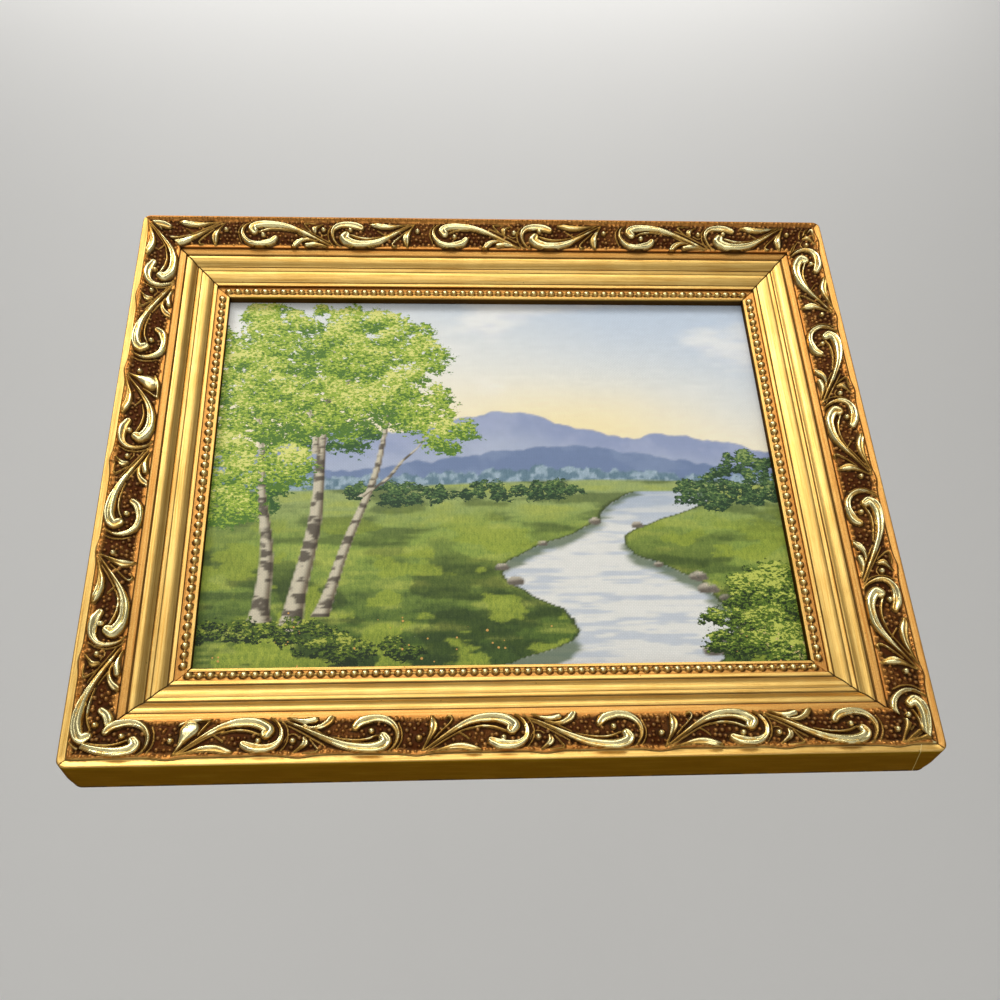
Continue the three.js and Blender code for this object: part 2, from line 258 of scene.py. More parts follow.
class Sheet:
    """A node tree that is filled by short calls, most of which give an output socket."""

    def __init__(self, tree: Tree) -> None:
        """Keeps the material's or group's node tree."""
        self.tree = tree

    def feed(self, socket: Socket, value: Value) -> None:
        """Links an input to another node's output, or sets its number, colour or vector.

        Args:
            socket: The input.
            value: An output socket, a number, a colour or a vector.
        """
        if isinstance(value, Socket):
            self.tree.links.new(value, socket)
        else:
            socket.default_value = value

    def add(self, kind: str, inputs: dict | None = None, **settings: object) -> bpy.types.Node:
        """Adds a node.

        Args:
            kind: Its type, less the word ShaderNode.
            inputs: What its sockets get, by name or number.
            settings: Its own settings.

        Returns:
            The node.
        """
        node = self.tree.nodes.new(f"ShaderNode{kind}")
        for key, value in settings.items():
            setattr(node, key, value)
        for key, value in (inputs or {}).items():
            self.feed(node.inputs[key], value)
        return node

    def math(self, operation: str, *numbers: Value) -> Socket:
        """Output of a Math node on one to three numbers."""
        return self.add("Math", dict(enumerate(numbers)), operation=operation).outputs[0]

    def plus(self, first: Value, second: Value) -> Socket:
        """Sum of two numbers."""
        return self.math("ADD", first, second)

    def times(self, first: Value, second: Value) -> Socket:
        """Product of two numbers."""
        return self.math("MULTIPLY", first, second)

    def most(self, first: Value, second: Value) -> Socket:
        """The greater of two numbers."""
        return self.math("MAXIMUM", first, second)

    def scaled(self, value: Value, factor: Value, offset: Value) -> Socket:
        """A number times a factor, plus an offset."""
        return self.math("MULTIPLY_ADD", value, factor, offset)

    def swung(self, noise: Socket, factor: float, offset: Value = 0.0) -> Socket:
        """Noise less its middle, times a factor, plus an offset."""
        return self.scaled(self.math("SUBTRACT", noise, 0.5), factor, offset)

    def step(self, value: Value, low: float, high: float, to: tuple[float, float] = (0.0, 1.0)) -> Socket:
        """S-curve of a value between two limits, from the first number of to up to the second."""
        inputs = {"Value": value, "From Min": low, "From Max": high, "To Min": to[0], "To Max": to[1]}
        return self.add("MapRange", inputs, interpolation_type="SMOOTHSTEP").outputs[0]

    def mix(self, share: Value, first: Value, second: Value, blend: str = "MIX") -> Socket:
        """Mix of two colours, by the share of the second."""
        inputs = {0: share, 6: first, 7: second}
        return self.add("Mix", inputs, data_type="RGBA", blend_type=blend).outputs[2]

    def coat(self, colour: Value, *coats: tuple[Value, Value]) -> Value:
        """Lays tones over a colour in turn.

        Args:
            colour: What is there before.
            coats: A share and a tone for each coat.

        Returns:
            The last coat's socket.
        """
        for share, tone in coats:
            colour = self.mix(share, colour, tone)
        return colour

    def shaded(self, colour: Value, red: Value, others: Value) -> Socket:
        """A colour times a factor for its red and another for its green and blue."""
        factors = self.add("CombineColor", {0: red, 1: others, 2: others}).outputs[0]
        return self.mix(1.0, colour, factors, "MULTIPLY")

    def split(self, vector: Value) -> bpy.types.NodeOutputs:
        """The three numbers of a vector."""
        return self.add("SeparateXYZ", {0: vector}).outputs

    def attribute(self, name: str, output: str = "Fac") -> Socket:
        """Output of a mesh attribute: Fac, Color or Vector."""
        return self.add("Attribute", attribute_name=name).outputs[output]

    def stretch(self, vector: Value, scale: Triple) -> Socket:
        """A vector scaled along each axis."""
        return self.add("Mapping", {"Vector": vector, "Scale": scale}).outputs[0]

    def place(self) -> Socket:
        """Object coordinates, in millimetres."""
        return self.stretch(self.add("TexCoord").outputs["Object"], (1 / MM, 1 / MM, 1 / MM))

    def noise(self, vector: Value, scale: Value, detail: Value, roughness: float) -> Socket:
        """Noise texture on a vector: forms for each unit, octaves, and strength of the finer ones."""
        inputs = {"Vector": vector, "Scale": scale, "Detail": detail, "Roughness": roughness}
        return self.add("TexNoise", inputs).outputs[0]

    def effect(self, group: Tree, vector: Socket, output: str = "Mask", **inputs: Value) -> Socket:
        """Output of a shared effect on a vector."""
        return self.add("Group", {"Vector": vector, **inputs}, node_tree=group).outputs[output]

    def bump(self, height: Value, distance: float, strength: float) -> Socket:
        """Normal bent by a height, where a height of 1 is the distance in millimetres."""
        inputs = {"Height": height, "Distance": distance * MM, "Strength": strength}
        return self.add("Bump", inputs).outputs[0]

    def dress(self, sockets: dict[str, Value]) -> None:
        """Feeds the material's shader, by the names of its sockets."""
        for name, value in sockets.items():
            self.feed(self.tree.nodes["Principled BSDF"].inputs[name], value)


def new_group(
    name: str, numbers: dict[str, float], outputs: tuple[str, ...]
) -> tuple[Sheet, bpy.types.NodeOutputs, bpy.types.NodeInputs]:
    """Makes an empty shader node group with a vector and some numbers as its inputs.

    Args:
        name: The group's name.
        numbers: First value of each number, by name.
        outputs: Names of its outputs, which are numbers too.

    Returns:
        Its sheet, and its inputs and outputs by name.
    """
    tree = bpy.data.node_groups.new(name, "ShaderNodeTree")
    tree.interface.new_socket("Vector", in_out="INPUT", socket_type="NodeSocketVector")
    for label, value in numbers.items():
        socket = tree.interface.new_socket(label, in_out="INPUT", socket_type="NodeSocketFloat")
        socket.default_value = value
    for label in outputs:
        tree.interface.new_socket(label, in_out="OUTPUT", socket_type="NodeSocketFloat")
    given, result = tree.nodes.new("NodeGroupInput"), tree.nodes.new("NodeGroupOutput")
    return Sheet(tree), given.outputs, result.inputs


class SharedEffects:
    """Node groups for effects that more than one finish uses."""

    def __init__(self) -> None:
        """Builds the groups."""
        self.mottle = self.build_mottle()
        self.specks = self.build_specks()
        self.dust = self.build_dust()
        self.weave = self.build_weave()

    def build_mottle(self) -> Tree:
        """Soft patches: noise put through an S-curve about its middle.

        Returns:
            The group, with a mask and a height.
        """
        sheet, given, result = new_group("mottle", {"Scale": 0.1, "Detail": 3.0}, ("Mask", "Height"))
        noise = sheet.noise(given["Vector"], given["Scale"], given["Detail"], 0.55)
        sheet.feed(result["Mask"], sheet.step(noise, 0.35, 0.65))
        sheet.feed(result["Height"], noise)
        return sheet.tree

    def build_specks(self) -> Tree:
        """Small scattered spots: the middles of some of a Voronoi pattern's cells.

        Returns:
            The group, with a mask.
        """
        numbers = {"Scale": 0.2, "Share": 0.3, "Size": 0.12}
        sheet, given, result = new_group("specks", numbers, ("Mask",))
        cells = sheet.add("TexVoronoi", {"Vector": given["Vector"], "Scale": given["Scale"]}).outputs
        pick = sheet.add("SeparateColor", {0: cells["Color"]}).outputs[0]
        chosen = sheet.math("LESS_THAN", pick, given["Share"])
        inside = sheet.math("SUBTRACT", given["Size"], cells["Distance"])
        sheet.feed(result["Mask"], sheet.times(sheet.step(inside, 0.0, 0.05), chosen))
        return sheet.tree

    def build_dust(self) -> Tree:
        """Dust: more on faces that look up, and broken up by noise.

        Returns:
            The group, with a mask.
        """
        sheet, given, result = new_group("dust", {"Amount": 0.5}, ("Mask",))
        up = sheet.split(sheet.add("NewGeometry").outputs["Normal"])[2]
        lying = sheet.scaled(sheet.step(up, 0.35, 0.95), 0.9, 0.06)
        broken = sheet.step(sheet.noise(given["Vector"], 0.7, 4.0, 0.65), 0.3, 0.75)
        sheet.feed(result["Mask"], sheet.times(sheet.times(lying, broken), given["Amount"]))
        return sheet.tree

    def build_weave(self) -> Tree:
        """Plain weave: waves across each other, each hidden on every second crossing.

        Returns:
            The group, with a height.
        """
        sheet, given, result = new_group("weave", {"Pitch": 0.7}, ("Height",))
        wobble = sheet.noise(given["Vector"], 0.25, 3.0, 0.6)
        turn = sheet.math("DIVIDE", math.pi, given["Pitch"])
        x, _, z = sheet.split(given["Vector"])
        waves = [sheet.math("SINE", sheet.times(sheet.scaled(wobble, 0.5, axis), turn)) for axis in (x, z)]
        edges = [sheet.math("POWER", sheet.math("ABSOLUTE", wave), 0.6) for wave in waves]
        height = sheet.scaled(sheet.times(*waves), 0.35, sheet.times(*edges))
        sheet.feed(result["Height"], height)
        return sheet.tree


def new_material(name: str) -> tuple[Material, Sheet]:
    """Makes a material with a bare Principled shader.

    Args:
        name: The material's name.

    Returns:
        The material and its sheet.
    """
    material = bpy.data.materials.new(name)
    material.use_nodes = True
    return material, Sheet(material.node_tree)


@dataclass(frozen=True)
class Gilding:
    """Gold leaf paint over brown-red ground, toned in its hollows, worn pale on its crests, with grime and
    painted shade in its grooves and painted highlights on its crests, pearls and beads.
    """

    effects: SharedEffects
    leaf: Colour = srgb(238, 200, 116)
    deep_leaf: Colour = srgb(208, 160, 76)
    copper: Colour = srgb(186, 122, 56)
    umber: Colour = srgb(142, 106, 46)
    ground: Colour = srgb(70, 32, 11)
    pale_wear_and_highlight: Colour = srgb(250, 236, 174)
    grime_and_shade_tone: Colour = srgb(54, 32, 14)
    side_tone_and_sight_shade: Colour = srgb(140, 110, 8)
    dust_tone: Colour = srgb(176, 164, 140)
    streak_scale: Triple = (0.03, 1.6, 1.0)
    brush_scale: Triple = (0.05, 0.35, 1.0)
    metal: float = 0.96
    dull_metal: float = -0.3
    scratch_foot: float = 318.7
    scratch_reach: float = 24.5
    lip_girth: float = 21.5

    def material(self) -> Material:
        """Builds the finish: coats laid in turn, each where the rail's own values say.

        Returns:
            The material.
        """
        material, sheet = new_material("gilding")
        lay = sheet.attribute("lay", "Vector")
        streaks = sheet.noise(sheet.stretch(lay, self.streak_scale), 1.0, 3.0, 0.6)
        brushed = sheet.noise(sheet.stretch(lay, self.brush_scale), 1.0, 4.0, 0.65)
        grains = sheet.noise(lay, 2.2, 3.0, 0.6)
        stain = sheet.swung(grains, 0.5)
        patches = sheet.effect(self.effects.mottle, lay, Scale=0.09, Detail=4.0)
        specks = sheet.effect(self.effects.specks, lay, Scale=0.22, Share=0.22, Size=0.09)
        dust = sheet.effect(self.effects.dust, sheet.place(), Amount=0.35)
        side = sheet.attribute("side_tone_and_sight_shade")
        tinted = sheet.plus(sheet.attribute("copper"), sheet.swung(streaks, 0.7, stain))
        stained = sheet.step(sheet.plus(sheet.attribute("ground"), stain), 0.15, 0.85)
        # Pale on crests, pearls and beads: worn gilding, and painted highlight.
        rubbed_and_highlight = sheet.step(sheet.plus(sheet.attribute("worn"), stain), 0.2, 0.85)
        # Darker in grooves, at step and scroll feet, at mitres and on the sight's inner side: grime, and
        # painted shade in those recesses.
        grime_and_shade = sheet.step(sheet.swung(streaks, 0.35, sheet.attribute("hollow")), 0.1, 0.9, (0.0, 0.92))
        colour = sheet.coat(
            sheet.mix(sheet.step(streaks, 0.42, 0.72), self.leaf, self.deep_leaf),
            (sheet.times(patches, 0.35), self.deep_leaf),
            (sheet.times(side, sheet.step(brushed, 0.25, 0.6, (0.86, 1.0))), self.side_tone_and_sight_shade),
            (sheet.step(tinted, 0.05, 0.95), self.copper),
            (sheet.step(sheet.plus(sheet.attribute("umber"), stain), 0.1, 0.9), self.umber),
            (stained, self.ground),
            (rubbed_and_highlight, self.pale_wear_and_highlight),
            (grime_and_shade, self.grime_and_shade_tone),
            (sheet.times(specks, 0.6), self.grime_and_shade_tone),
            (self.hair(sheet, lay), self.pale_wear_and_highlight),
            (dust, self.dust_tone),
        )
        dull = sheet.most(sheet.most(stained, grime_and_shade), dust)
        rough = sheet.scaled(grains, 0.14, 0.3)
        for value, factor in ((dull, 0.16), (side, 0.1), (rubbed_and_highlight, -0.15)):
            rough = sheet.scaled(value, factor, rough)
        ripple = sheet.scaled(streaks, 0.6, sheet.times(grains, 0.5))
        sheet.dress({
            "Base Color": colour,
            "Metallic": sheet.scaled(dull, self.dull_metal, self.metal),
            "Roughness": rough,
            "Specular Tint": sheet.mix(sheet.most(side, stained), self.leaf, self.side_tone_and_sight_shade),
            "Normal": sheet.bump(ripple, 0.12, 0.5),
        })
        return material

    def hair(self, sheet: Sheet, lay: Socket) -> Socket:
        """A fine scratch that runs slantwise over the bottom rail's side, near its right corner.

        Args:
            sheet: The material's sheet.
            lay: The rail's own places: along, round the section, and a number for each rail.

        Returns:
            The mask's socket.
        """
        along, girth, rail = sheet.split(lay)
        over_lip = sheet.most(sheet.math("SUBTRACT", girth, self.lip_girth), 0.0)
        line = sheet.scaled(over_lip, 0.62, sheet.scaled(girth, -0.2, self.scratch_foot))
        gap = sheet.math("ABSOLUTE", sheet.math("SUBTRACT", along, line))
        short = sheet.math("LESS_THAN", girth, self.scratch_reach)
        there = sheet.times(short, sheet.math("LESS_THAN", rail, 1.0))
        return sheet.times(sheet.step(gap, 0.16, 0.04, (0.0, 0.8)), there)


@dataclass(frozen=True)
class BareWood:
    """Planed softwood with an open grain along the rail, greyed and dusty, for the back."""

    effects: SharedEffects
    pale: Colour = srgb(206, 172, 124)
    dark: Colour = srgb(160, 112, 66)
    stain: Colour = srgb(110, 82, 52)
    dust_tone: Colour = srgb(168, 158, 142)
    ring_bend: float = 34.0
    ring_turn: float = 1.7

    def material(self) -> Material:
        """Builds the finish: rings as a stretched wave, and pores as finer stretched noise.

        Returns:
            The material.
        """
        material, sheet = new_material("bare_wood")
        lay = sheet.attribute("lay", "Vector")
        bend = sheet.noise(sheet.stretch(lay, (0.006, 0.05, 1.0)), 1.0, 2.0, 0.5)
        across = sheet.scaled(bend, self.ring_bend, sheet.split(lay)[1])
        rings = sheet.math("SINE", sheet.times(across, self.ring_turn))
        pores = sheet.noise(sheet.stretch(lay, (0.12, 3.0, 1.0)), 1.0, 3.0, 0.6)
        share = sheet.scaled(sheet.step(pores, 0.3, 0.75), 0.45, -0.05)
        share = sheet.scaled(sheet.step(rings, -0.4, 1.0), 0.55, share)
        patches = sheet.effect(self.effects.mottle, lay, Scale=0.03, Detail=4.0)
        specks = sheet.effect(self.effects.specks, lay, Scale=0.12, Share=0.2, Size=0.08)
        colour = sheet.coat(
            sheet.mix(share, self.pale, self.dark),
            (sheet.times(patches, 0.4), self.stain),
            (sheet.times(specks, 0.5), self.stain),
            (sheet.effect(self.effects.dust, sheet.place(), Amount=0.8), self.dust_tone),
        )
        rough, normal = sheet.scaled(pores, 0.2, 0.6), sheet.bump(share, 0.15, 0.6)
        sheet.dress({"Base Color": colour, "Roughness": rough, "Normal": normal})
        return material


@dataclass(frozen=True)
class OilPaint:
    """Oil paint in small dabs on canvas, under a thin varnish."""

    effects: SharedEffects
    flower_white: Colour = srgb(246, 240, 222)
    flower_warm: Colour = srgb(232, 176, 92)
    thread_pitch: float = 0.72
    varnish: float = 0.2

    def material(self) -> Material:
        """Builds the finish: dabs, leaves, flowers and canvas, laid in turn.

        Returns:
            The material.
        """
        material, sheet = new_material("oil_paint")
        place = sheet.place()
        colour, swing = self.dabs(sheet, place)
        colour, dotted = self.leaves(sheet, place, colour)
        colour, bloom = self.flowers(sheet, place, colour)
        weave = sheet.effect(self.effects.weave, place, "Height", Pitch=self.thread_pitch)
        thick = sheet.plus(sheet.times(dotted, 0.8), sheet.times(bloom, 0.8))
        relief = sheet.scaled(weave, 0.55, sheet.scaled(swing, 1.3, thick))
        threads = sheet.scaled(weave, 0.12, 0.92)
        dust = sheet.effect(self.effects.mottle, place, "Height", Scale=0.05, Detail=4.0)
        sheet.dress({
            "Base Color": sheet.shaded(colour, threads, threads),
            "Roughness": sheet.scaled(dust, 0.16, 0.36),
            "Normal": sheet.bump(relief, 0.11, 0.7),
            "Specular IOR Level": self.varnish,
        })
        return material

    def dabs(self, sheet: Sheet, place: Socket) -> tuple[Socket, Socket]:
        """The picture's own colours, lighter and darker from dab to dab by noise.

        Args:
            sheet: The material's sheet.
            place: Places in millimetres.

        Returns:
            The colour, and how far each dab swings from it.
        """
        dabs = sheet.attribute("dabs")
        tufts = sheet.noise(sheet.stretch(place, (1.5, 1.0, 0.6)), 0.75, 4.0, 0.7)
        tiny = sheet.noise(place, 2.0, 2.0, 0.6)
        brush = sheet.noise(sheet.stretch(place, (0.14, 1.0, 0.34)), 1.0, 4.0, 0.65)
        both = sheet.scaled(tufts, 1.3, sheet.times(tiny, 0.7))
        swing = sheet.times(sheet.math("SUBTRACT", both, 1.0), dabs)
        base = sheet.scaled(dabs, 0.7, sheet.scaled(brush, 0.18, 1.04))
        gain = sheet.most(sheet.scaled(swing, 4.2, base), 0.2)
        return sheet.shaded(sheet.attribute("paint", "Color"), sheet.scaled(swing, 1.4, gain), gain), swing

    def leaves(self, sheet: Sheet, place: Socket, colour: Socket) -> tuple[Socket, Socket]:
        """Leaves in three tones, where noise on the foliage's mass and light says.

        Args:
            sheet: The material's sheet.
            place: Places in millimetres.
            colour: What is there before.

        Returns:
            The colour, and where the brightest leaves are.
        """
        fine = sheet.noise(sheet.stretch(place, (0.8, 1.0, 1.2)), 0.42, 4.0, 0.75)
        spots = sheet.noise(sheet.stretch(place, (0.8, 1.0, 1.3)), 0.95, 2.0, 0.6)
        mass = sheet.attribute("leaf_mass")
        massed = sheet.step(sheet.swung(fine, 3.4, mass), 0.47, 0.53)
        massed = sheet.times(massed, sheet.step(mass, 0.03, 0.15))
        lit = sheet.swung(fine, 0.8, sheet.swung(spots, 2.2, sheet.attribute("leaf_light")))
        tones = ("leaf_dark", "leaf_mid", "leaf_bright")
        dark, mid, bright = (sheet.attribute(tone, "Color") for tone in tones)
        dotted = sheet.step(lit, 0.62, 0.7)
        leaf = sheet.coat(dark, (sheet.step(lit, 0.24, 0.36), mid), (dotted, bright))
        return sheet.mix(massed, colour, leaf), dotted

    def flowers(self, sheet: Sheet, place: Socket, colour: Socket) -> tuple[Socket, Socket]:
        """White and warm spots in some of a Voronoi pattern's cells.

        Args:
            sheet: The material's sheet.
            place: Places in millimetres.
            colour: What is there before.

        Returns:
            The colour, and where the flowers are.
        """
        cells = sheet.add("TexVoronoi", {"Vector": place, "Scale": 0.42}).outputs
        pick = sheet.add("SeparateColor", {0: cells["Color"]}).outputs
        chosen = sheet.math("LESS_THAN", pick[0], sheet.attribute("bloom"))
        petal = sheet.math("SUBTRACT", sheet.scaled(pick[2], 0.16, 0.12), cells["Distance"])
        bloom = sheet.times(chosen, sheet.step(petal, 0.0, 0.06))
        tone = sheet.mix(sheet.step(pick[1], 0.45, 0.55), self.flower_white, self.flower_warm)
        return sheet.mix(bloom, colour, tone), bloom


@dataclass(frozen=True)
class CanvasBoard:
    """The board behind the picture: brown paper with a margin of primed canvas turned over it."""

    effects: SharedEffects
    paper: Colour = srgb(170, 134, 92)
    aged: Colour = srgb(128, 94, 58)
    canvas: Colour = srgb(214, 203, 178)
    dust_tone: Colour = srgb(180, 170, 150)
    thread_pitch: float = 0.8

    def material(self) -> Material:
        """Builds the finish: the mesh's margin value picks canvas or paper.

        Returns:
            The material.
        """
        material, sheet = new_material("canvas_board")
        place = sheet.place()
        margin = sheet.attribute("margin")
        patches = sheet.effect(self.effects.mottle, place, Scale=0.022, Detail=5.0)
        specks = sheet.effect(self.effects.specks, place, Scale=0.1, Share=0.3, Size=0.1)
        weave = sheet.effect(self.effects.weave, place, "Height", Pitch=self.thread_pitch)
        fibres = sheet.noise(sheet.stretch(place, (0.5, 1.0, 1.6)), 0.9, 3.0, 0.6)
        share = sheet.scaled(patches, 0.55, sheet.times(fibres, 0.3))
        paper = sheet.coat(self.paper, (share, self.aged), (sheet.times(specks, 0.45), self.aged))
        cloth = sheet.coat(self.aged, (sheet.times(weave, 0.35), self.canvas), (0.75, self.canvas))
        dust = sheet.effect(self.effects.dust, place, Amount=0.6)
        heights = {0: margin, 2: sheet.times(fibres, 0.4), 3: weave}
        height = sheet.add("Mix", heights, data_type="FLOAT").outputs[0]
        sheet.dress({
            "Base Color": sheet.coat(paper, (margin, cloth), (dust, self.dust_tone)),
            "Roughness": sheet.scaled(fibres, 0.15, 0.72),
            "Normal": sheet.bump(height, 0.1, 0.6),
        })
        return material


@dataclass(frozen=True)
class PlatedSteel:
    """Thin plated steel, brushed one way, with dull spots and a little rust."""

    effects: SharedEffects
    name: str
    bright: Colour
    dull: Colour
    rust: Colour = srgb(118, 66, 34)

    def material(self) -> Material:
        """Builds the finish: stretched noise for the brushing, mottle for tarnish.

        Returns:
            The material.
        """
        material, sheet = new_material(self.name)
        place = sheet.place()
        brushed = sheet.noise(sheet.stretch(place, (0.25, 1.0, 5.0)), 1.0, 3.0, 0.6)
        patches = sheet.effect(self.effects.mottle, place, Scale=0.25, Detail=5.0)
        specks = sheet.effect(self.effects.specks, place, Scale=0.55, Share=0.3, Size=0.16)
        rusty = sheet.times(specks, 0.8)
        tarnish = sheet.scaled(patches.node.outputs["Height"], 0.25, 0.24)
        sheet.dress({
            "Base Color": sheet.coat(
                self.bright,
                (sheet.step(brushed, 0.3, 0.7), self.dull),
                (sheet.times(patches, 0.5), self.dull),
                (rusty, self.rust),
            ),
            "Metallic": sheet.scaled(rusty, -0.8, 1.0),
            "Roughness": sheet.scaled(rusty, 0.35, tarnish),
            "Normal": sheet.bump(brushed, 0.03, 0.6),
        })
        return material


@dataclass(frozen=True)
class StudioPlaster:
    """Pale matt finish of the room."""

    tone: Colour = srgb(236, 235, 232)
    shade: Colour = srgb(206, 206, 206)
    roughness: float = 0.9

    def material(self) -> Material:
        """Builds the finish, a little clouded.

        Returns:
            The material.
        """
        material, sheet = new_material("studio_plaster")
        cloud = sheet.noise(sheet.place(), 0.004, 3.0, 0.5)
        colour = sheet.mix(sheet.times(cloud, 0.06), self.tone, self.shade)
        sheet.dress({"Base Color": colour, "Roughness": self.roughness})
        return material


class Side(Enum):
    """A rail of the frame, with the turn in degrees that takes its own frame to its place."""

    BOTTOM = ("bottom", 0)
    RIGHT = ("right", -90)
    TOP = ("top", 180)
    LEFT = ("left", 90)

    @property
    def label(self) -> str:
        """The rail's word in node names."""
        return self.value[0]

    @property
    def turn(self) -> float:
        """The turn about Y, in radians."""
        return math.radians(self.value[1])

    @property
    def upright(self) -> bool:
        """Whether the rail stands upright."""
        return self in (Side.LEFT, Side.RIGHT)

    @property
    def number(self) -> int:
        """The rail's place in the order."""
        return list(Side).index(self)


class Part(Enum):
    """A part of the moulding's section: its name, its copper and how dark its mitres are."""

    SIDE = ("side", 0.16, 0.4)
    LIP = ("lip", 0.3, 0.4)
    BED = ("bed", 0.3, 0.0)
    FLAT = ("flat", 0.6, 0.85)
    BAND = ("band", 0.16, 0.85)
    CHANNEL = ("channel", 0.6, 0.85)
    SIGHT = ("sight", 0.35, 0.85)
    REBATE = ("rebate", 0.16, 0.85)
    BACK = ("back", 0.16, 0.85)

    @property
    def copper(self) -> float:
        """How coppery it is, 0 to 1."""
        return self.value[1]

    @property
    def seam(self) -> float:
        """How dark it is at a mitre, 0 to 1."""
        return self.value[2]


@dataclass(frozen=True)
class FramePlace:
    """Where the frame stands, read from the CAD nodes."""

    width: float
    height: float
    centre_z: float
    lip_y: float

    @classmethod
    def read(cls, moulding: "Moulding", seat_gap: float = 0.3) -> "FramePlace":
        """Works the frame's place out from the rails' and the painting's boxes.

        Args:
            moulding: The section, whose lip stands before the painting.
            seat_gap: Room between the painting and the seat before it.

        Returns:
            The frame's place.
        """
        left, right = cad_size("left_rail")[0][0], cad_size("right_rail")[1][0]
        bottom, top = cad_size("bottom_rail")[0][2], cad_size("top_rail")[1][2]
        lip_y = cad_size("painting")[0][1] - moulding.seat_depth - seat_gap
        return cls(round(right - left, 2), round(top - bottom, 2), (top + bottom) / 2, lip_y)

    def length(self, side: Side) -> float:
        """A rail's length over its outer edge."""
        return self.height if side.upright else self.width

    def world(self, side: Side, along: Array, inward: Array, out: Array) -> Array:
        """Turns points of a rail to their place: a turn about Y, and a shift.

        Args:
            side: The rail.
            along: Distance from its left corner.
            inward: Distance from its outer edge.
            out: Height over the plane of the lip.

        Returns:
            One point to a row, in millimetres.
        """
        x = along - self.length(side) / 2
        z = inward - (self.width if side.upright else self.height) / 2
        c, s = math.cos(side.turn), math.sin(side.turn)
        return np.stack([x * c + z * s, self.lip_y - out, self.centre_z - x * s + z * c], axis=-1)


@dataclass(frozen=True)
class Row:
    """A row of the moulding's section, which runs along the whole rail.

    It lies inward from the outer edge and out from the lip's plane. A fine row has twice as many
    vertices, a sharp one is an arris, and hollow is how dark it is painted, 0 to 1: grime, and
    painted shade at the foot of a step or in a groove.
    """

    inward: float
    out: float
    part: Part
    fine: bool = False
    sharp: bool = False
    hollow: float = 0.0


@dataclass
class Section:
    """The moulding's section, row after row."""

    rows: list[Row]

    def run(
        self, width: float, drop: float, count: int, part: Part,
        rise: float = 0.0, fine: bool = False, sharp: bool = True, hollow: float = 0.0,
    ) -> None:
        """Goes on from the last row by a straight line with a parabola of the given rise over it.

        Args:
            width: How far inward it goes.
            drop: How far back it goes.
            count: How many rows it adds.
            part: What they belong to.
            rise: Rise of the bow over its chord.
            fine: Whether its rows have twice as many vertices.
            sharp: Whether it ends in an arris.
            hollow: How dark its last row is painted: grime, and painted shade at a step's foot or a
                groove's bottom.
        """
        start = self.rows[-1]
        for t in (i / count for i in range(1, count + 1)):
            last = t == 1
            out = start.out - drop * t + 4 * rise * t * (1 - t)
            dirt_and_shade = hollow if last else 0.0
            self.rows.append(Row(start.inward + width * t, out, part, fine, sharp and last, dirt_and_shade))


@dataclass(frozen=True)
class Band:
    """A bowed band of the moulding, and how many rows it has."""

    width: float
    drop: float
    rise: float
    rows: int


